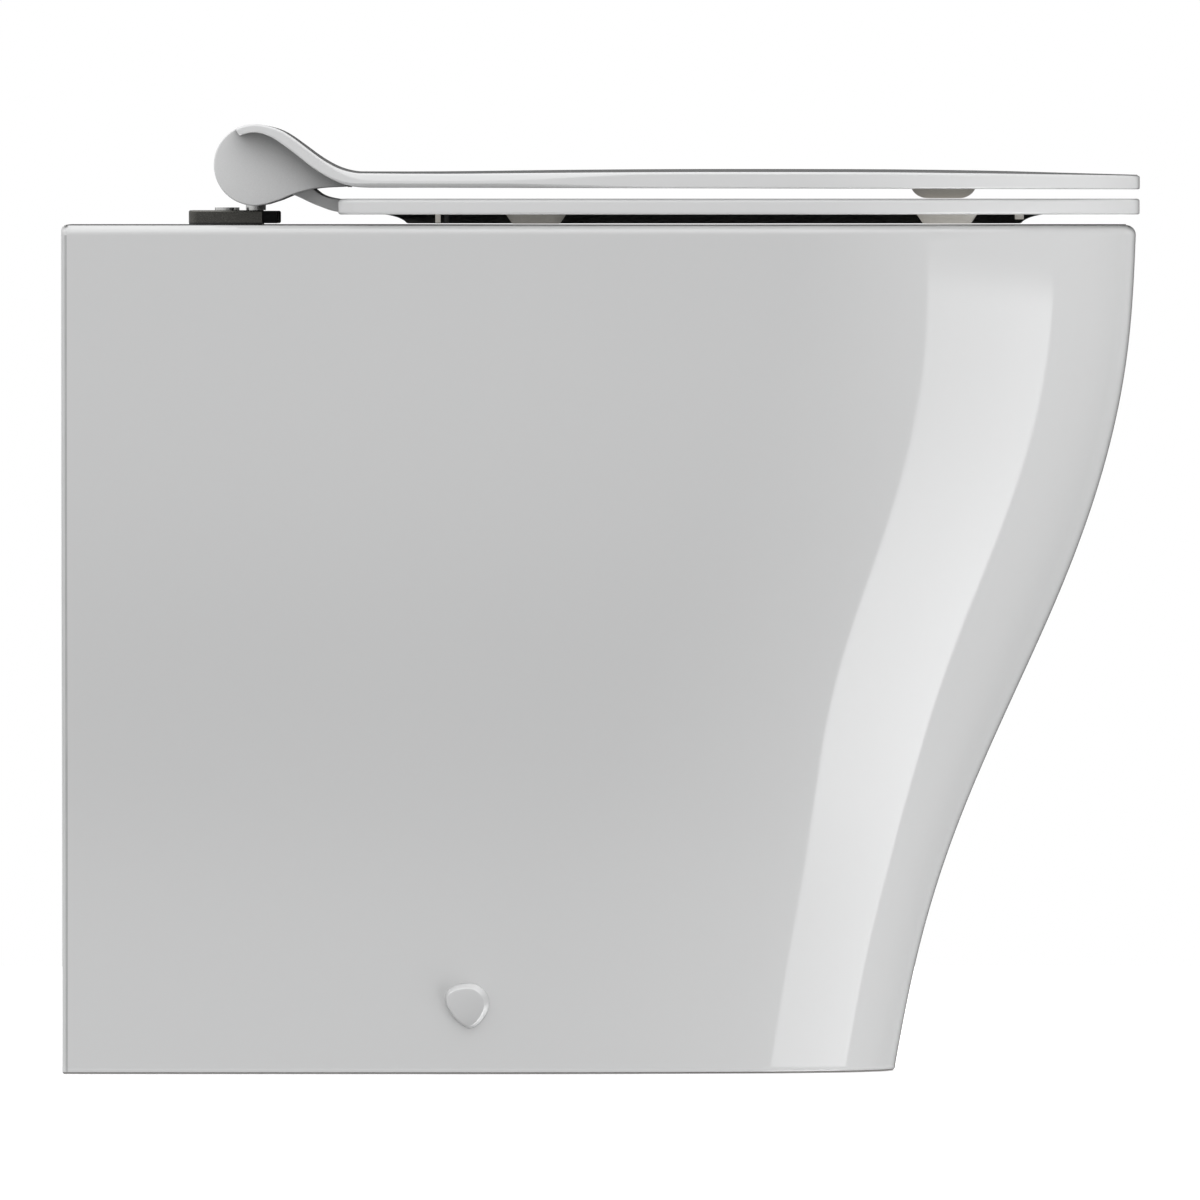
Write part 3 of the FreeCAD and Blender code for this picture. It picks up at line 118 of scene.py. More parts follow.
def smooth_line(pts, count, start=None, end=None):
    """Cubic through points, by chord length, with optional end slopes; returns count points."""
    p = np.array(pts, float)
    s = np.concatenate([[0], np.cumsum(np.linalg.norm(np.diff(p, axis=0), axis=1))])
    n = len(p)
    h = np.diff(s)
    out = []
    t = np.linspace(0, s[-1], count)
    for c in range(2):
        a = np.zeros((n, n))
        d = np.zeros(n)
        y = p[:, c]
        for i in range(1, n - 1):
            a[i, i - 1], a[i, i], a[i, i + 1] = h[i - 1], 2 * (h[i - 1] + h[i]), h[i]
            d[i] = 6 * ((y[i + 1] - y[i]) / h[i] - (y[i] - y[i - 1]) / h[i - 1])
        if start is None:
            a[0, 0] = 1
        else:
            v = np.array(start, float) / np.linalg.norm(start)
            a[0, 0], a[0, 1] = 2 * h[0], h[0]
            d[0] = 6 * ((y[1] - y[0]) / h[0] - v[c])
        if end is None:
            a[-1, -1] = 1
        else:
            v = np.array(end, float) / np.linalg.norm(end)
            a[-1, -1], a[-1, -2] = 2 * h[-1], h[-1]
            d[-1] = 6 * (v[c] - (y[-1] - y[-2]) / h[-1])
        m = np.linalg.solve(a, d)
        k = np.clip(np.searchsorted(s, t, side="right") - 1, 0, n - 2)
        t0, t1 = s[k + 1] - t, t - s[k]
        out.append((m[k] * t0 ** 3 + m[k + 1] * t1 ** 3) / (6 * h[k])
                   + (y[k] / h[k] - m[k] * h[k] / 6) * t0 + (y[k + 1] / h[k] - m[k + 1] * h[k] / 6) * t1)
    return np.array(out).T


# ------------------------------------------------------------------ mesh helpers
def make_mesh(name, verts, faces):
    """Object from millimetre points."""
    me = bpy.data.meshes.new(name)
    me.from_pydata([tuple(float(c) * MM for c in v) for v in verts], [], faces)
    me.validate()
    ob = bpy.data.objects.new(name, me)
    bpy.context.scene.collection.objects.link(ob)
    return ob


def fix_normals(ob, weld=0.0):
    bm = bmesh.new()
    bm.from_mesh(ob.data)
    if weld:
        bmesh.ops.remove_doubles(bm, verts=bm.verts, dist=weld)
        bmesh.ops.dissolve_degenerate(bm, edges=bm.edges, dist=weld)
    bmesh.ops.recalc_face_normals(bm, faces=bm.faces)
    bm.to_mesh(ob.data)
    bm.free()
    return ob


def loop_grid(name, rings, closed_rows=False, caps=True):
    """Closed solid from rings of equal length (each ring a closed loop of points)."""
    verts, faces = [], []
    n = len(rings[0])
    for r in rings:
        verts.extend([tuple(p) for p in r])
    rows = len(rings)
    last = rows if closed_rows else rows - 1
    for i in range(last):
        a, b = i * n, ((i + 1) % rows) * n
        for j in range(n):
            k = (j + 1) % n
            faces.append((a + j, a + k, b + k, b + j))
    if caps and not closed_rows:
        faces.append(tuple(range(n - 1, -1, -1)))
        faces.append(tuple((rows - 1) * n + j for j in range(n)))
    ob = make_mesh(name, verts, faces)
    return fix_normals(ob, 1e-6)


def boolean(ob, other, op):
    m = ob.modifiers.new("bool", "BOOLEAN")
    m.operation = op
    m.solver = "MANIFOLD"
    m.object = other
    bake(ob)
    bpy.data.objects.remove(other)
    return ob


def bake(ob):
    """Applies the modifiers of an object."""
    dg = bpy.context.evaluated_depsgraph_get()
    dg.update()
    me = bpy.data.meshes.new_from_object(ob.evaluated_get(dg), preserve_all_data_layers=True, depsgraph=dg)
    old = ob.data
    ob.modifiers.clear()
    ob.data = me
    bpy.data.meshes.remove(old)
    return ob


def polish(ob, angle=32.0, weighted=True):
    """Smooth shading with sharp edges kept, and normals that favour the large faces."""
    me = ob.data
    for p in me.polygons:
        p.use_smooth = True
    me.set_sharp_from_angle(angle=math.radians(angle))
    if weighted:
        m = ob.modifiers.new("normals", "WEIGHTED_NORMAL")
        m.mode = "FACE_AREA"
        m.keep_sharp = True
        m.weight = 60
        bake(ob)
    return ob


def lathe(name, profile, centre, axis, steps=96):
    """Solid of revolution: profile of (radius, along) in mm, closed at both ends on the axis."""
    ax = Vector(axis).normalized()
    u = ax.orthogonal().normalized()
    v = ax.cross(u)
    verts, faces = [], []
    for r, t in profile:
        for j in range(steps):
            a = 2 * math.pi * j / steps
            verts.append(Vector(centre) + ax * t + (u * math.cos(a) + v * math.sin(a)) * r)
    n = steps
    for i in range(len(profile) - 1):
        for j in range(n):
            k = (j + 1) % n
            faces.append((i * n + j, i * n + k, (i + 1) * n + k, (i + 1) * n + j))
    faces.append(tuple(range(n - 1, -1, -1)))
    faces.append(tuple((len(profile) - 1) * n + j for j in range(n)))
    ob = make_mesh(name, verts, faces)
    return fix_normals(ob, 1e-6)


def rounded_bar(name, rad, centre, axis, length, r=1.0, steps=96):
    """Round bar with softened ends."""
    prof = []
    for k in range(6):
        a = math.pi / 2 * k / 5
        prof.append((rad - r + r * math.sin(a), r - r * math.cos(a)))
    for k in range(6):
        a = math.pi / 2 * k / 5
        prof.append((rad - r + r * math.cos(a), length - r + r * math.sin(a)))
    return lathe(name, prof, centre, axis, steps)


def tube_along(name, path, rad, steps=48):
    """Round bar along a path in the plane y = 0."""
    rings = []
    p = np.array(path, float)
    for i in range(len(p)):
        t = p[min(i + 1, len(p) - 1)] - p[max(i - 1, 0)]
        t /= np.linalg.norm(t)
        nrm = np.array([-t[2], 0, t[0]])
        rings.append([p[i] + rad * (math.cos(a) * nrm + math.sin(a) * np.array([0, 1, 0]))
                      for a in np.linspace(0, 2 * math.pi, steps, endpoint=False)])
    return loop_grid(name, rings)


def block(name, lo, hi):
    x0, y0, z0 = lo
    x1, y1, z1 = hi
    return loop_grid(name, [[(x0, y0, z0), (x1, y0, z0), (x1, y1, z0), (x0, y1, z0)],
                            [(x0, y0, z1), (x1, y0, z1), (x1, y1, z1), (x0, y1, z1)]])


# ------------------------------------------------------------------ ceramic pan
def skin(name, inset, x_back, z_list, top_r=None, foot_r=None, corner=2.5, fine=64, side_cols=26, bead=0.0):
    """Skirt-shaped solid: plan sections stacked in height, with rounded top, foot and back edges."""
    phis = [math.radians(90.0 * i / fine) for i in range(fine + 1)]

    def ring(z, drop, lift_t):
        """drop: not used."""
        out = []
        half = [outline_point(z, p) for p in phis]
        xs, w = half[0]
        w -= inset
        loop = []
        # right side (negative y): back centre -> corner -> side -> tip, then mirrored
        for y in np.linspace(0, w - corner, 7)[:-1]:
            loop.append((x_back, y, 0.0, 1.0, 0.0))
        for a in np.linspace(0, math.pi / 2, 7):
            loop.append((x_back + corner - corner * math.cos(a), w + bead - corner + corner * math.sin(a),
                         math.sin(a), math.cos(a), math.sin(a)))
        x0 = x_back + corner
        if bead:
            # the glaze stands a little proud along the ground back edge
            for t in np.linspace(0, 1, 11)[1:]:
                loop.append((x0 + 1.9 * t, w + bead * (0.5 + 0.5 * math.cos(math.pi * t)), 1.0, 0.0, 1.0))
            x0 += 1.95
        for t in (np.linspace(0, 1, side_cols)[1:-1]):
            loop.append((x0 + (xs - x0) * t, w, 1.0, 0.0, 1.0))
        for (x, y), p in zip(half, phis):
            loop.append((x - inset * math.sin(p), y - inset * math.cos(p), 1.0, -math.sin(p), math.cos(p)))
        pts = []
        for x, y, side, nb, ns in loop:
            pts.append((x, y, side, nb, ns))
        return pts

    rings = []

    def add(z, theta=None, foot=False):
        base = ring(z if theta is None else (RIM_Z - 5.0 if not foot else 0.0), None, None)
        row = []
        for x, y, side, nb, ns in base:
            if theta is None:
                t = min(max((3.0 - z) / 1.5, 0.0), 1.0) if foot_r else 0.0
                e = 0.25 * t * t * (3 - 2 * t) * side
                row.append((x - nb * e * (0.0 if nb > 0 else 1.0), y + ns * e, z))
                continue
            if foot:
                r = foot_r
                d = r * (1 - math.cos(theta)) - 0.25 * side
                zz = r - r * math.sin(theta)
            else:
                r = 2.2 + (top_r - 2.2) * side
                d = r * (1 - math.cos(theta))
                zz = RIM_Z - CROWN - r + r * math.sin(theta)
            # nb points to the back (negative for the front), ns to the side
            row.append((x + nb * (d if nb < 0 or not foot else max(d, 0.0)), y - ns * d, zz))
        full = row + [(x, -y, z2) for x, y, z2 in row[-2:0:-1]]
        rings.append(full)

    if foot_r:
        for k in range(4, -1, -1):
            add(0.0, math.pi / 2 * k / 4, foot=True)
    for z in z_list:
        add(z)
    if top_r:
        for k in range(0, 11):
            add(RIM_Z, math.pi / 2 * k / 10)
        edge = rings[-1]
        for f in (0.94, 0.85, 0.7, 0.5, 0.3, 0.12, 0.02):
            rings.append([(x, y * f, RIM_Z - CROWN * f * f) for x, y, z in edge])
    return loop_grid(name, rings)


def bowl_shape(name, grow, flare, top, bottom_extra, steps=160):
    zs = [b[0] for b in BOWL][::-1]
    fs = [natural_spline(zs, [b[k] for b in BOWL][::-1]) for k in (1, 2, 3)]
    rings = []
    z_low = BOWL[-1][0] - bottom_extra

    def add(z, extra):
        cx, a, b = fs[0](z), fs[1](z) + extra, fs[2](z) + extra
        zz = z
        rings.append([(cx + a * math.cos(t), b * math.sin(t), zz)
                      for t in np.linspace(0, 2 * math.pi, steps, endpoint=False)])
    # dished bottom
    cx, a, b = fs[0](zs[0]), fs[1](zs[0]) + grow, fs[2](zs[0]) + grow
    for k in range(1, 10):
        q = math.pi / 2 * k / 9
        sc = 0.35 + 0.65 * math.sin(q)
        rings.append([(cx + a * sc * math.cos(t), b * sc * math.sin(t), z_low - 0.0 + 14 * (1 - math.cos(q)) * 0 + (zs[0] - z_low + 14) * (1 - math.cos(q)) * 1.0)
                      for t in np.linspace(0, 2 * math.pi, steps, endpoint=False)])
    start = rings[-1][0][2]
    top_z = RIM_Z - flare if flare else top
    for z in np.linspace(start + 4, top_z, 60):
        add(z, grow)
    if flare:
        for k in range(1, 10):
            q = math.pi / 2 * k / 9
            cx, a, b = fs[0](RIM_Z), fs[1](RIM_Z), fs[2](RIM_Z)
            e = flare * (1 - math.cos(q))
            rings.append([(cx + (a + e) * math.cos(t), (b + e) * math.sin(t), RIM_Z - flare + flare * math.sin(q))
                          for t in np.linspace(0, 2 * math.pi, steps, endpoint=False)])
        last = rings[-1]
        rings.append([(x, y, top) for x, y, z in last])
    return loop_grid(name, rings)


def bent_path(points, radii):
    out = [np.array(points[0], float)]
    for i in range(1, len(points) - 1):
        p, a, b = (np.array(points[j], float) for j in (i, i - 1, i + 1))
        u, v = (a - p) / np.linalg.norm(a - p), (b - p) / np.linalg.norm(b - p)
        half = math.acos(np.clip(np.dot(u, v), -1, 1)) / 2
        r = radii[i - 1]
        reach = r / math.tan(half)
        s, e = p + u * reach, p + v * reach
        c = p + (u + v) / np.linalg.norm(u + v) * (r / math.sin(half))
        a0, a1 = s - c, e - c
        ang = math.pi - 2 * half
        for t in np.linspace(0, 1, 12):
            w = (math.sin((1 - t) * ang) * a0 + math.sin(t * ang) * a1) / math.sin(ang)
            out.append(c + w)
    out.append(np.array(points[-1], float))
    return out


def build_pan():
    zs = [1.4, 1.65, 1.9, 2.15, 2.4, 2.7, 3.1, 4.2] + list(np.linspace(8, 416, 86))
    pan = skin("pan_glazed", 0.0, BACK_X, zs, top_r=5.0, foot_r=1.3, corner=1.1, bead=0.35)
    zi = [-3.0] + list(np.linspace(4, RIM_Z - DECK, 40))
    # one even rounding along the deck's back edge
    r = 3.4
    arc = [(BACK_X + r - r * math.cos(a), RIM_Z - r + r * math.sin(a)) for a in np.linspace(0, math.pi / 2, 13)]
    out = [(BACK_X - 3.0, RIM_Z - r)] + arc + [(BACK_X + r, RIM_Z + 3.0), (BACK_X - 3.0, RIM_Z + 3.0)]
    boolean(pan, loop_grid("back_edge", [[(x, y, z) for x, z in out] for y in np.linspace(-200, 200, 9)]), "DIFFERENCE")
    core = skin("core", WALL, BACK_X - 12.0, zi, corner=0.5, fine=40, side_cols=12)
    boolean(pan, core, "DIFFERENCE")
    boolean(pan, bowl_shape("bowl_out", 10.0, 0, RIM_Z - DECK + 8, 8.0), "UNION")
    run = [(-12, 0, 160), (-62, 0, 160), (-112, 0, 262), (-172, 0, 180), (-208, 0, 180)]
    boolean(pan, tube_along("trap_out", bent_path(run, [42, 42, 42]), 39.0), "UNION")
    boolean(pan, lathe("horn", [(49.0, 0.0), (50.2, 0.5), (50.9, 1.6), (51.0, 2.6), (51.0, 45.0), (50.4, 46.6), (40.0, 58.6), (39.0, 61.0),
                                (34.0, 64.0)], (-236, 0, 180), (1, 0, 0)), "UNION")
    boolean(pan, rounded_bar("inlet", 38.0, (-236, 0, 335), (1, 0, 0), 150, 2.0), "UNION")
    boolean(pan, block("web", (-186, -6, 200), (-150, 6, 410)), "UNION")
    boolean(pan, bowl_shape("bowl_in", 0.0, 7.0, RIM_Z + 4, 0.0), "DIFFERENCE")
    boolean(pan, tube_along("trap_in", bent_path(run, [42, 42, 42]), 30.0), "DIFFERENCE")
    boolean(pan, lathe("horn_bore", [(45.0, -1.0), (43.0, 2.0), (43.0, 44.0), (30.0, 61.5)], (-236, 0, 180), (1, 0, 0)), "DIFFERENCE")
    boolean(pan, lathe("inlet_bore", [(28.6, -1.0), (27.5, 1.5), (27.5, 56.0)], (-236, 0, 335), (1, 0, 0)), "DIFFERENCE")
    boolean(pan, lathe("inlet_duct", [(19.0, 0.0), (19.0, 130.0)], (-181, 0, 335), (1, 0, 0), 64), "DIFFERENCE")
    w = outline_point(34.0, 0.0)[1]
    for s in (-1, 1):
        boolean(pan, lathe("deck_hole", [(7.5, -30), (7.5, -1.0), (8.2, 0.3), (8.6, 2.0)], (-188.0, s * 77.5, RIM_Z), (0, 0, 1), 48), "DIFFERENCE")
        boolean(pan, lathe("side_hole", [(5.4, -30), (5.4, -5.0), (8.6, -4.99), (8.6, 3.0)], (-67.5, s * w, 34.0), (0, s, 0), 48), "DIFFERENCE")
    polish(pan, 32.0)
    return pan


# ------------------------------------------------------------------ lid
LID_FRONT, LID_HALF = 269.5, 179.8
# Middle line of the lid's top (x, z), and how much lower its edges lie.
LID_MID = [(-120.1, 450.5), (-100.0, 450.45), (-75.0, 450.55), (-50.0, 450.85), (0.0, 451.4), (50.0, 451.65), (100.0, 451.65),
           (150.0, 451.45), (175.0, 451.15), (200.0, 450.7), (225.0, 450.0), (250.0, 449.3), (269.5, 448.75)]
LID_CROWN = [(-170.0, 0.0), (-160.0, 0.3), (-148.0, 0.75), (-134.0, 1.0), (-120.1, 1.1), (-75.0, 1.35), (0.0, 1.55), (150.0, 1.6),
             (200.0, 1.4), (225.0, 1.05), (250.0, 0.65), (269.5, 0.4)]


ROLL_END = 164.6


def on_circle(rad, deg):
    a = math.radians(deg)
    return (AX + rad * math.cos(a), AZ + rad * math.sin(a))


def lid_stations():
    """Pairs of outer and inner points along the panel, with plan inset direction: (outer, inner, half, n)."""
    t82 = (math.sin(math.radians(82)), -math.cos(math.radians(82)))
    t95 = (math.sin(math.radians(95)), -math.cos(math.radians(95)))
    slope_o = (LID_FRONT + 5 + 120.1, 448.5 - 450.5)
    slope_i = (LID_FRONT + 5 + 116.0, 441.5 - 442.3)
    arc_o = [on_circle(ROLL, d) for d in np.linspace(118, 82, 15)]
    arc_i = [on_circle(16.2, d) for d in np.linspace(118, 95, 15)]
    wave_o = smooth_line([on_circle(ROLL, 82.0)] + LID_OUTER, 46, t82, slope_o)[1:]
    wave_i = smooth_line([on_circle(16.2, 95.0)] + LID_INNER, 46, t95, slope_i)[1:]
    outer = arc_o + [tuple(p) for p in wave_o]
    inner = arc_i + [tuple(p) for p in wave_i]
    st = [(o, i, 0.0) for o, i in zip(outer, inner)]
    return st, slope_o, slope_i


def edge_profile(thick, rt, rb, k=8, full=0.0):
    """Edge as (inset, depth) from the top face to the underside: two roundings, or with full=1 two facets."""
    out = []
    lean, low = min(5.2, thick * 0.55), min(2.5, thick * 0.3)
    for j in range(k + 1):
        a = math.pi / 2 * j / k
        t = j / k
        p = (rt * (1 - math.sin(a)), rt * (1 - math.cos(a)))
        q = (1.5 * (1 - t) + 0.5 * max(0.0, 1 - 6 * t), lean * t)
        out.append(tuple((1 - full) * u + full * v for u, v in zip(p, q)))
    for j in range(k + 1):
        a = math.pi / 2 * j / k
        t = j / k
        p = (rb * (1 - math.cos(a)), thick - rb + rb * math.sin(a))
        q = (low * 1.5 * t, thick - low + low * t)
        out.append(tuple((1 - full) * u + full * v for u, v in zip(p, q)))
    return out


def build_lid():
    st, slope_o, slope_i = lid_stations()
    tip, ys = outline_point(RIM_Z, math.radians(90))[0], outline_point(RIM_Z, 0.0)[1]
    xs = outline_point(RIM_Z, 0.0)[0] + LID_FRONT - tip
    fac = LID_HALF / ys

    mid_line = natural_spline([p[0] for p in LID_MID], [p[1] for p in LID_MID])
    crown_line = natural_spline([p[0] for p in LID_CROWN], [p[1] for p in LID_CROWN])

    def z_top(x):
        return mid_line(x)

    def z_low(x):
        return 442.3 + (x + 116.0) * slope_i[1] / slope_i[0]

    cols = 28
    rings = []

    def ease(v, a, b):
        t = min(max((v - a) / (b - a), 0.0), 1.0)
        return t * t * (3 - 2 * t)

    def ring_from(outer, inner, half, n, plan=None):
        o, i = np.array(outer), np.array(inner)
        # the top is slightly crowned, highest along the middle
        crown = max(crown_line(o[0]), 0.0)
        o = o - np.array([0.0, crown])
        th = np.linalg.norm(o - i)
        d = (i - o) / th
        # nearly square along the wave and the front, fuller between them
        full = ease(o[0], -142.0, -116.0) * (1 - ease(o[0], -55.0, 25.0))
        nose = ease(o[0], 225.0, 262.0)
        rt = min(1.5 - 0.4 * nose, th * 0.5)
        rb = min(1.0 - 0.2 * nose, th * 0.42)
        pts = []
        for ins, dep in edge_profile(th, rt, rb, full=full):
            if plan is None:
                x, z = o + d * dep
                pts.append((x, half - ins, z))
            else:
                px, py, phi = plan
                x, y = px - ins * math.sin(phi), py - ins * math.cos(phi)
                t = dep / th
                pts.append((x, max(y, 0.0), (z_top(x) - crown) * (1 - t) + z_low(x) * t))
        top, low = pts[0], pts[-1]
        row_top = [(top[0], top[1] * f, top[2] + crown * (1 - f * f)) for f in np.linspace(-1, 1, cols)[1:-1]]
        row_low = [(low[0], low[1] * f, low[2]) for f in np.linspace(1, -1, cols)[1:-1]]
        left = pts
        right = [(x, -y, z) for x, y, z in pts[::-1]]
        rings.append(row_top + left + row_low + right)

    # softened rear end, then the wave, the flat and the round front
    o0, i0 = np.array(st[0][0]), np.array(st[0][1])
    mid = (o0 + i0) / 2
    tang = np.array([-math.cos(math.radians(28)), -math.sin(math.radians(28))])
    for k in range(0, 4):
        a = math.pi / 2 * k / 4
        sh = 0.9 * math.cos(a)
        shrink = 1 - 0.9 * (1 - math.sin(a)) / (np.linalg.norm(o0 - i0) / 2)
        oo, ii = mid + (o0 - mid) * shrink + tang * (sh - 0.9), mid + (i0 - mid) * shrink + tang * (sh - 0.9)
        ring_from(oo, ii, LID_HALF - 0.9 * (1 - math.sin(a)), 0)
    for o, i, _ in st[1:]:
        ring_from(o, i, LID_HALF, 0)
    for x in np.linspace(st[-1][0][0] + 8, xs - 6, 14):
        ring_from((x, z_top(x)), (x, z_low(x)), LID_HALF, 0)
    for k in range(0, 97):
        phi = math.radians(90.0 * k / 96)
        x, y = outline_point(RIM_Z, phi)
        x, y = x + LID_FRONT - tip, y * fac
        if k == 96:
            y = 0.0
        ring_from((x, z_top(x)), (x, z_low(x)), y, 0, plan=(x, y, phi))
    lid = loop_grid("lid_panel", rings)

    def roll_body(name, y0, y1):
        tail = smooth_line([on_circle(ROLL, -74.0)] + TAIL, 40)
        upper = [(-133.0, 448.0), (-140.0, 452.4), (-147.0, 457.4), (-154.0, 462.6), (-160.0, 467.0)]
        arc = [on_circle(ROLL - 0.02, d) for d in np.linspace(68, 286, 120)]
        loop = [tuple(p) for p in tail] + upper + arc[:-1]
        # soft edges: shrink the loop towards its inside at both ends
        p = np.array(loop)
        nxt, prv = np.roll(p, -1, axis=0), np.roll(p, 1, axis=0)
        t = nxt - prv
        nrm = np.stack([t[:, 1], -t[:, 0]], axis=1)
        nrm /= np.linalg.norm(nrm, axis=1)[:, None]
        area = np.sum(p[:, 0] * nxt[:, 1] - nxt[:, 0] * p[:, 1])
        if area < 0:
            nrm = -nrm
        rr = []
        r = 0.8
        for k in range(0, 5):
            a = math.pi / 2 * k / 4
            q = p - nrm * r * (1 - math.sin(a))
            rr.append([(x, y0 + r - r * math.cos(a), z) for x, z in q])
        for k in range(0, 5):
            a = math.pi / 2 * k / 4
            q = p - nrm * r * (1 - math.cos(a))
            rr.append([(x, y1 - r + r * math.sin(a), z) for x, z in q])
        return loop_grid(name, rr)

    for y0, y1 in ((-61.5, 61.5), (150.5, ROLL_END), (-ROLL_END, -150.5)):
        boolean(lid, roll_body("roll", y0, y1), "UNION")
    for s in (-1, 1):
        y0, y1 = sorted((s * 61.5, s * 93.5))
        boolean(lid, block("notch", (-215.0, y0, 440.0), (-157.5, y1, 490.0)), "DIFFERENCE")
        boolean(lid, lathe("notch_round", [(20.3, 0.0), (20.3, y1 - y0)], (AX, y0, AZ), (0, 1, 0), 160), "DIFFERENCE")
        a, b = sorted((s * 30.0, s * 66.0))
        boolean(lid, lathe("bore", [(7.0, 0.0), (7.0, b - a)], (AX, a, AZ), (0, 1, 0), 48), "DIFFERENCE")
        a, b = sorted((s * 148.0, s * 162.5))
        boolean(lid, lathe("bore", [(7.0, 0.0), (7.0, b - a)], (AX, a, AZ), (0, 1, 0), 48), "DIFFERENCE")
    polish(lid, 32.0)
    return lid


# ------------------------------------------------------------------ seat
def build_seat():
    low, top, back, half, front = 428.9, 436.75, -131.6, 178.6, 269.4
    hx, ha, hb = 56.0, 147.0, 103.0
    tip, ys = outline_point(RIM_Z, math.radians(90))[0], outline_point(RIM_Z, 0.0)[1]
    fac = half / ys
    cr = 9.0
    loop = []  # (x, y, nx, ny)
    for y in np.linspace(0, half - cr, 22)[:-1]:
        loop.append((back, y, -1.0, 0.0))
    for a in np.linspace(0, math.pi / 2, 10):
        loop.append((back + cr - cr * math.cos(a), half - cr + cr * math.sin(a), -math.cos(a), math.sin(a)))
    x_s = outline_point(RIM_Z, 0.0)[0] + front - tip
    for x in np.linspace(back + cr, x_s, 26)[1:-1]:
        loop.append((x, half, 0.0, 1.0))
    for k in range(0, 97):
        phi = math.radians(90.0 * k / 96)
        x, y = outline_point(RIM_Z, phi)
        loop.append((x + front - tip, y * fac if k < 96 else 0.0, math.sin(phi), math.cos(phi)))
    loop = loop + [(x, -y, nx, -ny) for x, y, nx, ny in loop[-2:0:-1]]
    n = len(loop)
    ang = []
    for x, y, _, _ in loop:
        ang.append(math.atan2(y / hb, (x - hx) / ha))
    rt, rb, ri = 2.2, 1.5, 3.4

    def outer_ring(ins, dz, up):
        """Ring inset by ins and dz away from the top or the underside, tighter round the front."""
        out = []
        for x, y, nx, ny in loop:
            k = 1 - 0.42 * min(max((x - 225.0) / 37.0, 0.0), 1.0)
            out.append((x - nx * ins * k, y - ny * ins * k, top - dz * k if up else low + dz * k))
        return out

    def hole_ring(a, b, z):
        return [(hx + a * math.cos(t), b * math.sin(t), z) for t in ang]

    def mix(r1, r2, f):
        return [tuple((1 - f) * p + f * q for p, q in zip(u, v)) for u, v in zip(r1, r2)]

    rings = []
    for k in range(0, 7):
        a = math.pi / 2 * k / 6
        rings.append(outer_ring(rb * (1 - math.sin(a)), rb - rb * math.cos(a), False))
    for k in range(0, 9):
        a = math.pi / 2 * k / 8
        rings.append(outer_ring(rt * (1 - math.cos(a)), rt - rt * math.sin(a), True))
    e_top = rings[-1]
    inner_top = hole_ring(ha + 1.5 + ri, hb + 1.5 + ri, top - 0.35)
    for f in (0.15, 0.35, 0.6, 0.82, 0.93):
        m = mix(e_top, inner_top, f)
        dip = 0.35 * (3 * f ** 2 - 2 * f ** 3)
        rings.append([(x, y, top - dip) for x, y, z in m])
    for k in range(0, 9):
        a = math.pi / 2 * k / 8
        rings.append(hole_ring(ha + 1.5 + ri * (1 - math.sin(a)), hb + 1.5 + ri * (1 - math.sin(a)),
                               top - 0.35 - ri + ri * math.cos(a)))
    z0, z1 = top - 0.35 - ri, 424.4
    rings.append(hole_ring(ha + 0.6, hb + 0.6, (z0 + z1) / 2))
    rings.append(hole_ring(ha + 0.2, hb + 0.2, z1 + 0.9))
    rings.append(hole_ring(ha + 0.9, hb + 0.9, z1))
    rings.append(hole_ring(153.4, 108.8, z1))
    for da, zz in ((154.2, 424.7), (154.9, 425.5), (156.3, 426.4), (158.3, 427.3), (160.6, 428.0), (163.0, 428.55), (165.0, 428.86), (166.6, low)):
        rings.append(hole_ring(da, da - 44.7, zz))
    i_low = rings[-1]
    o_low = rings[0]
    for f in (0.3, 0.65, 0.9):
        rings.append(mix(i_low, o_low, f))
    seat = loop_grid("seat_plate", rings, closed_rows=True, caps=False)

    up = smooth_line(NECK_UP, 30)
    lo = smooth_line(NECK, 30)
    for s in (-1, 1):
        y0, y1 = sorted((s * 94.0, s * 149.5))
        loop2 = [tuple(p) for p in lo] + [tuple(p) for p in up]
        p = np.array(loop2)
        nxt, prv = np.roll(p, -1, axis=0), np.roll(p, 1, axis=0)
        t = nxt - prv
        nrm = np.stack([t[:, 1], -t[:, 0]], axis=1)
        nrm /= np.linalg.norm(nrm, axis=1)[:, None]
        if np.sum(p[:, 0] * nxt[:, 1] - nxt[:, 0] * p[:, 1]) < 0:
            nrm = -nrm
        rr = []
        r = 0.7
        for k in range(0, 4):
            a = math.pi / 2 * k / 3
            q = p - nrm * r * (1 - math.sin(a))
            rr.append([(x, y0 + r - r * math.cos(a), z) for x, z in q])
        for k in range(0, 4):
            a = math.pi / 2 * k / 3
            q = p - nrm * r * (1 - math.cos(a))
            rr.append([(x, y1 - r + r * math.sin(a), z) for x, z in q])
        boolean(seat, loop_grid("neck", rr), "UNION")
        boolean(seat, rounded_bar("barrel", 15.0, (AX, y0, AZ), (0, 1, 0), y1 - y0, 0.8), "UNION")
        boolean(seat, lathe("bore", [(7.0, -2.0), (7.0, y1 - y0 + 2.0)], (AX, y0, AZ), (0, 1, 0), 48), "DIFFERENCE")
        boolean(seat, lathe("pip", [(0.9, 0.0), (1.3, 0.4), (1.3, 5.2)], (-82.0, s * 116.0, 424.4), (0, 0, 1), 24), "UNION")
        boolean(seat, lathe("pip", [(0.8, 0.0), (1.15, 0.4), (1.15, 5.0)], (-77.6, s * 128.0, 424.6), (0, 0, 1), 24), "UNION")
        boolean(seat, lathe("stub", [(1.7, 0.0), (2.2, 0.5), (2.2, 3.6)], (208.5, s * 72.0, 426.0), (0, 0, 1), 24), "UNION")
    polish(seat, 32.0)
    return seat


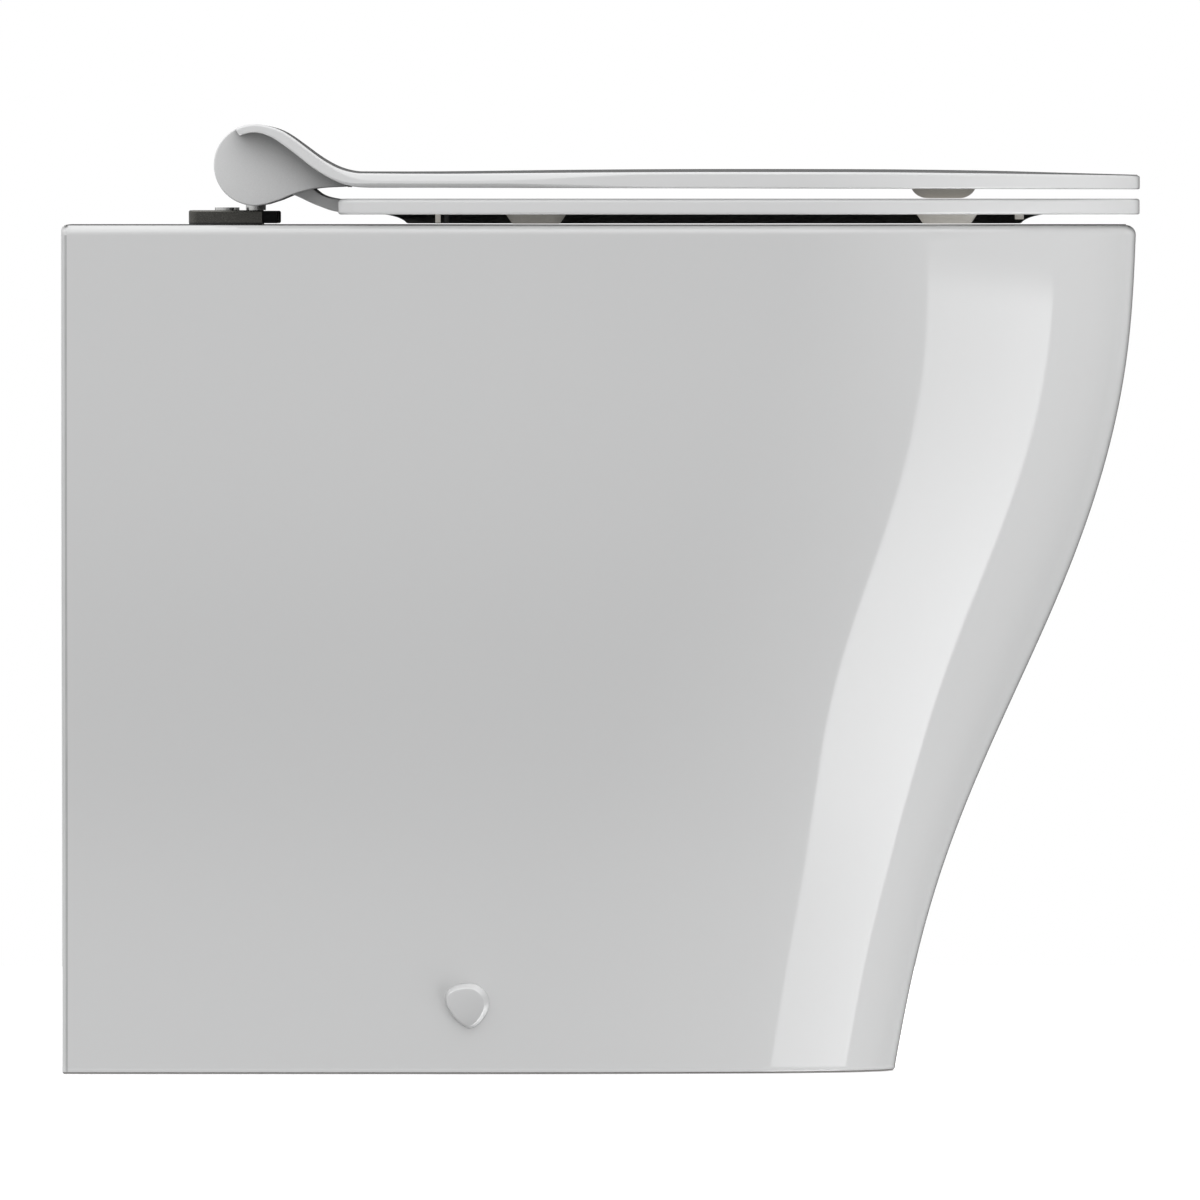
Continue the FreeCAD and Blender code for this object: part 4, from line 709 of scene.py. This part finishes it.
# ------------------------------------------------------------------ small pieces
def build_cap(s):
    """Shield-shaped cover cap with a low dome and a rounded rim."""
    w = outline_point(34.0, 0.0)[1]
    size = 22.4
    shield = [(0.06, 0.505), (0.19, 0.487), (0.3, 0.43), (0.442, 0.276), (0.497, 0.1), (0.474, -0.075), (0.36, -0.29),
              (0.22, -0.44), (0.075, -0.5), (-0.09, -0.44), (-0.26, -0.3), (-0.42, -0.06), (-0.485, 0.1), (-0.485, 0.24),
              (-0.42, 0.36), (-0.29, 0.44), (-0.12, 0.49)]
    n = len(shield)
    wrap = smooth_line(shield + shield + shield[:1], 2 * 96 + 1)
    loop = wrap[48:144]
    p = loop * size
    rings = []
    cxz = np.array([-6.0, -5.0])
    f0, rise = 0.845, 2.6
    rows = [(1.0, -0.6), (1.0, 0.1), (0.9975, 0.3), (0.985, 0.55)]
    for t in np.linspace(0.12, 0.9, 8):
        rows.append((1 + (f0 - 1) * t, 0.35 + rise * t))
    rows += [(f0 + 0.004, 0.36 + rise * 0.97), (f0 - 0.012, 0.38 + rise), (f0 - 0.03, 0.43 + rise)]
    for g in (0.92, 0.84, 0.74, 0.62, 0.5, 0.38, 0.25, 0.12, 0.03):
        rows.append((f0 * g, 0.4 + rise + 0.75 * (1 - g * g)))
    for f, h in rows:
        q = cxz + (p - cxz) * f
        rings.append([(-67.5 + u, s * (w + h), 34.0 + v) for u, v in q])
    cap = loop_grid("cap_" + ("left" if s > 0 else "right"), rings)
    polish(cap, 40.0)
    return cap


def build_seat_buffer(name, x, y):
    rings = []
    for half, wd, z in ((10.6, 4.6, 424.3), (11.7, 5.6, 424.32), (12.3, 6.1, 424.9), (14.8, 6.9, 428.6), (15.1, 7.0, 428.95)):
        a = half - wd
        loop = []
        for t in np.linspace(-math.pi / 2, math.pi / 2, 17):
            loop.append((x + a + wd * math.cos(t), y + wd * math.sin(t), z))
        for t in np.linspace(math.pi / 2, 3 * math.pi / 2, 17):
            loop.append((x - a + wd * math.cos(t), y + wd * math.sin(t), z))
        rings.append(loop)
    ob = loop_grid(name, rings)
    polish(ob, 40.0)
    return ob


def build_lid_buffer(name, x, y):
    prof = [(7.0, 437.05), (8.2, 437.1), (9.4, 437.25), (10.5, 437.6), (11.6, 438.1), (12.6, 438.7), (13.4, 439.35), (14.1, 440.05),
            (14.6, 440.7), (14.95, 441.25), (15.0, 441.4), (15.0, 441.95)]
    ob = lathe(name, [(r, z) for r, z in prof], (x, y, 0), (0, 0, 1), 72)
    polish(ob, 40.0)
    return ob


# ------------------------------------------------------------------ materials
def new_material(name):
    m = bpy.data.materials.new(name)
    m.use_nodes = True
    nt = m.node_tree
    for n in list(nt.nodes):
        nt.nodes.remove(n)
    out = nt.nodes.new("ShaderNodeOutputMaterial")
    bsdf = nt.nodes.new("ShaderNodeBsdfPrincipled")
    nt.links.new(bsdf.outputs[0], out.inputs[0])
    return m, nt, bsdf


def noise(nt, scale, detail=2.0, rough=0.5):
    tc = nt.nodes.new("ShaderNodeTexCoord")
    n = nt.nodes.new("ShaderNodeTexNoise")
    n.inputs["Scale"].default_value = scale
    n.inputs["Detail"].default_value = detail
    n.inputs["Roughness"].default_value = rough
    nt.links.new(tc.outputs["Object"], n.inputs["Vector"])
    return n


def ramp(nt, src, a, b, lo=0.3, hi=0.7):
    r = nt.nodes.new("ShaderNodeValToRGB")
    r.color_ramp.elements[0].position = lo
    r.color_ramp.elements[0].color = (*a, 1)
    r.color_ramp.elements[1].position = hi
    r.color_ramp.elements[1].color = (*b, 1)
    nt.links.new(src, r.inputs[0])
    return r.outputs[0]


def spread(nt, src, lo, hi):
    r = nt.nodes.new("ShaderNodeMapRange")
    r.inputs["From Min"].default_value = 0.3
    r.inputs["From Max"].default_value = 0.7
    r.inputs["To Min"].default_value = lo
    r.inputs["To Max"].default_value = hi
    nt.links.new(src, r.inputs["Value"])
    return r.outputs["Result"]


def bump(nt, bsdf, src, strength, distance):
    b = nt.nodes.new("ShaderNodeBump")
    b.inputs["Strength"].default_value = strength
    b.inputs["Distance"].default_value = distance
    nt.links.new(src, b.inputs["Height"])
    nt.links.new(b.outputs[0], bsdf.inputs["Normal"])
    return b


def glaze(name="glaze", tone=0.80):
    m, nt, b = new_material(name)
    n = noise(nt, 6.0, 3.0)
    nt.links.new(ramp(nt, n.outputs["Fac"], (tone * 0.992, tone * 0.992, tone * 0.99), (tone, tone, tone * 0.997)), b.inputs["Base Color"])
    fine = noise(nt, 260.0, 2.0)
    nt.links.new(spread(nt, fine.outputs["Fac"], 0.045, 0.065), b.inputs["Roughness"])
    b.inputs["IOR"].default_value = 1.52
    wave = noise(nt, 22.0, 1.0)
    bump(nt, b, wave.outputs["Fac"], 0.10, 0.0006)
    return m


def resin(name="resin", tone=0.83, painted_shade_low=0.7, reach=0.022, rough=0.10, ripple=0.08, ior=1.48):
    m, nt, b = new_material(name)
    n = noise(nt, 9.0, 2.0)
    body = ramp(nt, n.outputs["Fac"], (tone * 0.994, tone * 0.994, tone * 0.992), (tone, tone, tone))
    # painted shade: an ambient occlusion lookup darkens the base colour in creases, recesses and under overhangs
    shade_ao = nt.nodes.new("ShaderNodeAmbientOcclusion")
    shade_ao.samples = 6
    shade_ao.inputs["Distance"].default_value = reach
    painted_shade_factor = nt.nodes.new("ShaderNodeMapRange")
    painted_shade_factor.inputs["From Min"].default_value = 0.25
    painted_shade_factor.inputs["From Max"].default_value = 0.97
    painted_shade_factor.inputs["To Min"].default_value = painted_shade_low
    painted_shade_factor.inputs["To Max"].default_value = 1.0
    nt.links.new(shade_ao.outputs["AO"], painted_shade_factor.inputs["Value"])
    mixed = nt.nodes.new("ShaderNodeMix")
    mixed.data_type = "RGBA"
    mixed.blend_type = "MULTIPLY"
    mixed.inputs[0].default_value = 1.0
    nt.links.new(body, mixed.inputs[6])
    nt.links.new(painted_shade_factor.outputs["Result"], mixed.inputs[7])
    nt.links.new(mixed.outputs[2], b.inputs["Base Color"])
    fine = noise(nt, 420.0, 2.0)
    nt.links.new(spread(nt, fine.outputs["Fac"], rough, rough * 1.4), b.inputs["Roughness"])
    b.inputs["IOR"].default_value = ior
    wave = noise(nt, 45.0, 1.0)
    bump(nt, b, wave.outputs["Fac"], ripple, 0.0003)
    return m


def plastic(name, color, rough, grain=700.0, depth=0.00008, ior=1.47, sheen=0.5):
    m, nt, b = new_material(name)
    n = noise(nt, 40.0, 4.0)
    dark = tuple(c * 0.9 for c in color)
    nt.links.new(ramp(nt, n.outputs["Fac"], dark, color), b.inputs["Base Color"])
    g = noise(nt, grain, 3.0)
    nt.links.new(spread(nt, g.outputs["Fac"], rough * 0.85, rough * 1.15), b.inputs["Roughness"])
    b.inputs["IOR"].default_value = ior
    b.inputs["Specular IOR Level"].default_value = sheen
    bump(nt, b, g.outputs["Fac"], 0.25, depth)
    return m


def elastomer(name, color, painted_glow):
    """Cloudy soft rubber with a satin skin; its emission is painted light, a glow standing in for light that reaches it
    in shaded gaps.
    """
    m, nt, b = new_material(name)
    n = noise(nt, 120.0, 3.0)
    dark = tuple(c * 0.93 for c in color)
    nt.links.new(ramp(nt, n.outputs["Fac"], dark, color), b.inputs["Base Color"])
    g = noise(nt, 600.0, 2.0)
    nt.links.new(spread(nt, g.outputs["Fac"], 0.28, 0.4), b.inputs["Roughness"])
    b.inputs["IOR"].default_value = 1.41
    # painted light: the rubber glows faintly by itself
    b.inputs["Emission Color"].default_value = (1.0, 0.96, 0.88, 1.0)
    b.inputs["Emission Strength"].default_value = painted_glow
    bump(nt, b, g.outputs["Fac"], 0.15, 0.00005)
    return m


def metal(name, color, rough, streak=(400.0, 30.0, 400.0)):
    m, nt, b = new_material(name)
    b.inputs["Metallic"].default_value = 1.0
    tc = nt.nodes.new("ShaderNodeTexCoord")
    mp = nt.nodes.new("ShaderNodeMapping")
    mp.inputs["Scale"].default_value = streak
    nt.links.new(tc.outputs["Object"], mp.inputs["Vector"])
    n = nt.nodes.new("ShaderNodeTexNoise")
    n.inputs["Scale"].default_value = 3.0
    n.inputs["Detail"].default_value = 4.0
    nt.links.new(mp.outputs[0], n.inputs["Vector"])
    dark = tuple(c * 0.86 for c in color)
    nt.links.new(ramp(nt, n.outputs["Fac"], dark, color), b.inputs["Base Color"])
    nt.links.new(spread(nt, n.outputs["Fac"], rough * 0.8, rough * 1.25), b.inputs["Roughness"])
    bump(nt, b, n.outputs["Fac"], 0.05, 0.00005)
    return m


# ------------------------------------------------------------------ build
PIECES = []


def add(ob, mat, body, replaced, slot_name):
    ob.data.materials.clear()
    ob.data.materials.append(mat)
    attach(ob, body)
    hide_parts(*replaced)
    PIECES.append(ob)
    return ob


MAT_GLAZE = glaze()
# resin tone, then the floor and reach of its painted shade: the lid's is strongest, to darken its hinge end under the
# overhang; the cap's is a thin painted shadow round its edge
MAT_RESIN = resin("resin", 0.87)
MAT_LID = resin("lid_resin", 0.87, 0.2, 0.04, 0.07, 0.03)
MAT_CAP = resin("cap_resin", 0.69, 0.4, 0.004, 0.3, 0.03, 2.6)
# painted shadow: a dark colour for the contact shadow along the foot
MAT_FOOT_SHADOW = plastic("painted_foot_shadow", (0.26, 0.25, 0.24), 0.8, sheen=0.1)
# painted shade: a grey colour for the dark line just in front of the back edge
MAT_BACK_EDGE_SHADE = plastic("painted_back_edge_shade", (0.56, 0.56, 0.56), 0.2, sheen=0.3)
# matte, low-sheen seat underside; its dark grey colour is painted shade for the gap under the seat
MAT_UNDER_SHADE = plastic("matte_underside_painted_shade", (0.42, 0.42, 0.41), 0.6, sheen=0.08)
# painted light: the pips, buffers and lid stops glow; the front buffers are a brighter, more strongly glowing copy of
# the rear buffers' rubber
MAT_PIP_GLOW = elastomer("pip_painted_glow", (0.87, 0.86, 0.82), 0.26)
MAT_BUFFER = elastomer("buffer_elastomer", (0.88, 0.86, 0.80), 0.08)
MAT_FRONT_BUFFER_LIT = elastomer("front_buffer_painted_light", (0.90, 0.89, 0.85), 0.22)
MAT_LID_BUFFER = elastomer("lid_buffer_elastomer", (0.86, 0.82, 0.74), 0.14)
MAT_DARK = metal("dark_chrome", (0.10, 0.098, 0.09), 0.24)
MAT_BLACK = plastic("black_plastic", (0.006, 0.007, 0.008), 0.38, sheen=0.16)
MAT_GREY = plastic("grey_acetal", (0.35, 0.35, 0.34), 0.4)
MAT_STEEL = metal("bright_steel", (0.62, 0.62, 0.61), 0.2)
MAT_BRASS = metal("brass", (0.70, 0.52, 0.26), 0.28)
MAT_RUBBER = plastic("black_rubber", (0.02, 0.02, 0.02), 0.6)

CAST = ["pan_rim", "pan_skirt", "pan_bowl", "pan_trapway", "pan_flush_horn"]
pan = add(build_pan(), MAT_GLAZE, "pan", CAST, "glaze")
pan.data.materials.append(MAT_FOOT_SHADOW)
pan.data.materials.append(MAT_BACK_EDGE_SHADE)
for poly in pan.data.polygons:
    c = poly.center
    # painted shadow: the faces of the foot's lowest millimetre take the dark contact-shadow colour
    if c.z < 0.0009:
        poly.material_index = 1
    # painted shade: the side faces about 2 mm from the back edge take the grey line colour
    elif -0.2679 < c.x < -0.2667 and abs(poly.normal.y) > 0.6 and 0.0 < c.z < 0.4185 and abs(c.y) > 0.118:
        poly.material_index = 2
seat = add(build_seat(), MAT_RESIN, "seat", ["seat_ring"], "seat_resin")
seat.data.materials.append(MAT_UNDER_SHADE)
seat.data.materials.append(MAT_PIP_GLOW)
# painted shade: faces under the seat's plate take the dark underside colour
for poly in seat.data.polygons:
    if poly.center.z < 0.42885:
        # the pips and stubs take the glowing pip material, painted light
        pip = abs(poly.center.x + 0.082) < 0.0025 or abs(poly.center.x - 0.2085) < 0.003
        poly.material_index = 2 if pip and abs(poly.normal.z) < 0.5 and abs(poly.center.y) > 0.06 else 1
add(build_lid(), MAT_LID, "lid", ["lid"], "seat_resin")
for s, hand in ((1, "left"), (-1, "right")):
    add(build_cap(s), MAT_CAP, "pan", ["cover_cap_" + hand], "cap_plastic")
    add(build_seat_buffer("buffer_rear_" + hand, -33.0, s * 138.0), MAT_BUFFER, "seat", ["seat_buffer_rear_" + hand], "buffer_rubber")
    add(build_seat_buffer("buffer_front_" + hand, 172.0, s * 121.0), MAT_FRONT_BUFFER_LIT, "seat", ["seat_buffer_front_" + hand], "buffer_rubber")
    add(build_lid_buffer("lid_stop_" + hand, 171.0, s * 112.0), MAT_LID_BUFFER, "lid", ["lid_buffer_" + hand], "buffer_rubber")

BY_SLOT = {"dark_chrome": MAT_DARK, "black_plastic": MAT_BLACK, "grey_plastic": MAT_GREY, "steel": MAT_STEEL,
           "brass": MAT_BRASS, "rubber": MAT_RUBBER, "buffer_rubber": MAT_BUFFER, "glaze": MAT_GLAZE,
           "seat_resin": MAT_RESIN, "cap_plastic": MAT_CAP}
slot_of = {p["node"]: p["material_slot"] for p in frame["record"]["subparts"]}
for name, ob in frame["nodes"].items():
    mat = BY_SLOT[slot_of[name]]
    if not ob.data.materials:
        ob.data.materials.append(mat)
    for i in range(len(ob.data.materials)):
        ob.data.materials[i] = mat

# ------------------------------------------------------------------ stage: floor, background, lights, camera
scene = bpy.context.scene
scene.view_settings.view_transform = "Standard"
scene.view_settings.look = "None"
scene.view_settings.exposure = 0.0
scene.view_settings.gamma = 1.0


def stage_material(name, build):
    m = bpy.data.materials.new(name)
    m.use_nodes = True
    nt = m.node_tree
    for n in list(nt.nodes):
        nt.nodes.remove(n)
    out = nt.nodes.new("ShaderNodeOutputMaterial")
    nt.links.new(build(nt), out.inputs[0])
    return m


def floor_shader(nt):
    d = nt.nodes.new("ShaderNodeBsdfDiffuse")
    d.inputs["Color"].default_value = (0.92, 0.92, 0.92, 1)
    e = nt.nodes.new("ShaderNodeEmission")
    e.inputs["Color"].default_value = (1, 1, 1, 1)
    e.inputs["Strength"].default_value = 0.55
    a = nt.nodes.new("ShaderNodeAddShader")
    nt.links.new(d.outputs[0], a.inputs[0])
    nt.links.new(e.outputs[0], a.inputs[1])
    return a.outputs[0]


floor_verts = [(3500 * math.cos(t), 3500 * math.sin(t), -0.4) for t in np.linspace(0, 2 * math.pi, 96, endpoint=False)]
floor = make_mesh("studio_floor", floor_verts, [tuple(range(96))])
floor.data.materials.append(stage_material("studio_floor", floor_shader))

world = bpy.data.worlds.new("studio")
scene.world = world
world.use_nodes = True
wn = world.node_tree
for n in list(wn.nodes):
    wn.nodes.remove(n)

# Soft room light by direction: brighter above than below, one tall softbox low at the front right,
# and a dark field straight behind the object that only reflections see.
AMBIENT, SLOPE, REAR = 0.54, 0.78, 0.42
BOX_AZ = (49.2, 101.6, 0.9)
BOX_EL = (-62.0, -7.7, 0.8)
BOX_CLIMB = 0.05
BOX_GAIN, BOX_LOW_GAIN = 2.15, 3.75
CEILING_GAIN = 1.5
DARK_GAIN, DARK_IN, DARK_OUT = 0.03, 18.0, 40.0
SCREEN_GAIN = 0.12


def w_math(op, a, b=None, clamp=False):
    n = wn.nodes.new("ShaderNodeMath")
    n.operation = op
    n.use_clamp = clamp
    for i, v in enumerate((a, b)):
        if v is None:
            continue
        if isinstance(v, (int, float)):
            n.inputs[i].default_value = v
        else:
            wn.links.new(v, n.inputs[i])
    return n.outputs[0]


def w_step(src, e0, e1, y0=0.0, y1=1.0):
    n = wn.nodes.new("ShaderNodeMapRange")
    n.interpolation_type = "SMOOTHSTEP"
    n.inputs["From Min"].default_value = e0
    n.inputs["From Max"].default_value = e1
    n.inputs["To Min"].default_value = y0
    n.inputs["To Max"].default_value = y1
    wn.links.new(src, n.inputs["Value"])
    return n.outputs["Result"]


w_tc = wn.nodes.new("ShaderNodeTexCoord")
w_xyz = wn.nodes.new("ShaderNodeSeparateXYZ")
wn.links.new(w_tc.outputs["Generated"], w_xyz.inputs[0])
wx, wy, wz = w_xyz.outputs
az = w_math("MULTIPLY", w_math("ARCTAN2", wx, w_math("MULTIPLY", wy, -1.0)), 180.0 / math.pi)
el = w_math("MULTIPLY", w_math("ARCSINE", wz), 180.0 / math.pi)
soft = BOX_AZ[2]
in_az = w_math("MULTIPLY", w_step(az, BOX_AZ[0] - soft, BOX_AZ[0] + soft), w_step(az, BOX_AZ[1] - soft, BOX_AZ[1] + soft, 1.0, 0.0))
soft = BOX_EL[2]
# the upper edge of the softbox climbs a little towards the right
edge = w_math("SUBTRACT", el, w_math("MULTIPLY", w_math("SUBTRACT", az, BOX_AZ[0]), BOX_CLIMB))
in_el = w_math("MULTIPLY", w_step(el, BOX_EL[0] - 4.0, BOX_EL[0] + 4.0), w_step(edge, BOX_EL[1] - soft, BOX_EL[1] + soft, 1.0, 0.0))
room = w_math("MAXIMUM", w_math("ADD", w_math("MULTIPLY", wz, SLOPE), w_math("ADD", w_math("MULTIPLY", wx, -REAR), AMBIENT)), 0.02)
far = w_math("MULTIPLY", w_math("ARCCOSINE", wy), 180.0 / math.pi)
beside = w_step(w_math("ABSOLUTE", wx), 0.16, 0.34)
dark = w_math("MAXIMUM", w_step(far, DARK_IN, DARK_OUT, DARK_GAIN, 1.0), w_math("MULTIPLY", beside, w_step(wx, -0.02, 0.02)))
w_path = wn.nodes.new("ShaderNodeLightPath")
glossy = w_path.outputs["Is Glossy Ray"]
dim = w_math("ADD", w_math("MULTIPLY", glossy, w_math("SUBTRACT", dark, 1.0)), 1.0)
box_gain = w_step(el, -38.0, -8.0, BOX_LOW_GAIN, BOX_GAIN)
box = w_math("MULTIPLY", w_math("MULTIPLY", in_az, in_el), box_gain)
ceiling = w_math("MULTIPLY", w_math("MULTIPLY", w_step(el, 33.0, 38.0), w_step(wy, 0.1, 0.3, 1.0, 0.0)), w_math("MULTIPLY", glossy, CEILING_GAIN))
# pale screen behind the object to the right, seen only in the glaze where it turns away
screen = w_math("MULTIPLY", w_math("MULTIPLY", w_step(az, 136.0, 160.0), w_step(az, 170.0, 176.0, 1.0, 0.0)),
                w_math("MULTIPLY", w_step(el, -45.0, -25.0), w_step(el, 30.0, 55.0, 1.0, 0.0)))
screen = w_math("MULTIPLY", screen, w_math("MULTIPLY", glossy, SCREEN_GAIN))
level = w_math("ADD", w_math("MULTIPLY", room, dim), w_math("ADD", screen, w_math("ADD", box, ceiling)))

w_out = wn.nodes.new("ShaderNodeOutputWorld")
w_mix = wn.nodes.new("ShaderNodeMixShader")
w_cam = wn.nodes.new("ShaderNodeBackground")
w_cam.inputs["Color"].default_value = (1, 1, 1, 1)
w_cam.inputs["Strength"].default_value = 1.0
w_env = wn.nodes.new("ShaderNodeBackground")
w_env.inputs["Color"].default_value = (0.992, 0.996, 1.0, 1)
wn.links.new(level, w_env.inputs["Strength"])
wn.links.new(w_path.outputs["Is Camera Ray"], w_mix.inputs[0])
wn.links.new(w_env.outputs[0], w_mix.inputs[1])
wn.links.new(w_cam.outputs[0], w_mix.inputs[2])
wn.links.new(w_mix.outputs[0], w_out.inputs[0])

for key in ("visible_glossy", "visible_diffuse", "visible_shadow", "visible_transmission"):
    setattr(floor, key, False)

cam_data = bpy.data.cameras.new("camera")
cam = bpy.data.objects.new("camera", cam_data)
scene.collection.objects.link(cam)
scene.camera = cam
# a long lens level with the seat, aimed a little down; the plane NEAR (most of the near side) is shown at 0.5 mm for a pixel of the photo
DIST, NEAR, EYE, AIM = 26.0, -0.12, 0.44, 0.2365
cam_data.type = "PERSP"
cam_data.sensor_width = 36.0
cam_data.lens = 36.0 * (DIST + NEAR) / 0.5989
cam_data.clip_start = 1.0
cam_data.clip_end = 100.0
cam.location = (-0.001125, -DIST, EYE)
cam.rotation_euler = (math.radians(90) - math.atan2(EYE - AIM, DIST + NEAR), 0, 0)
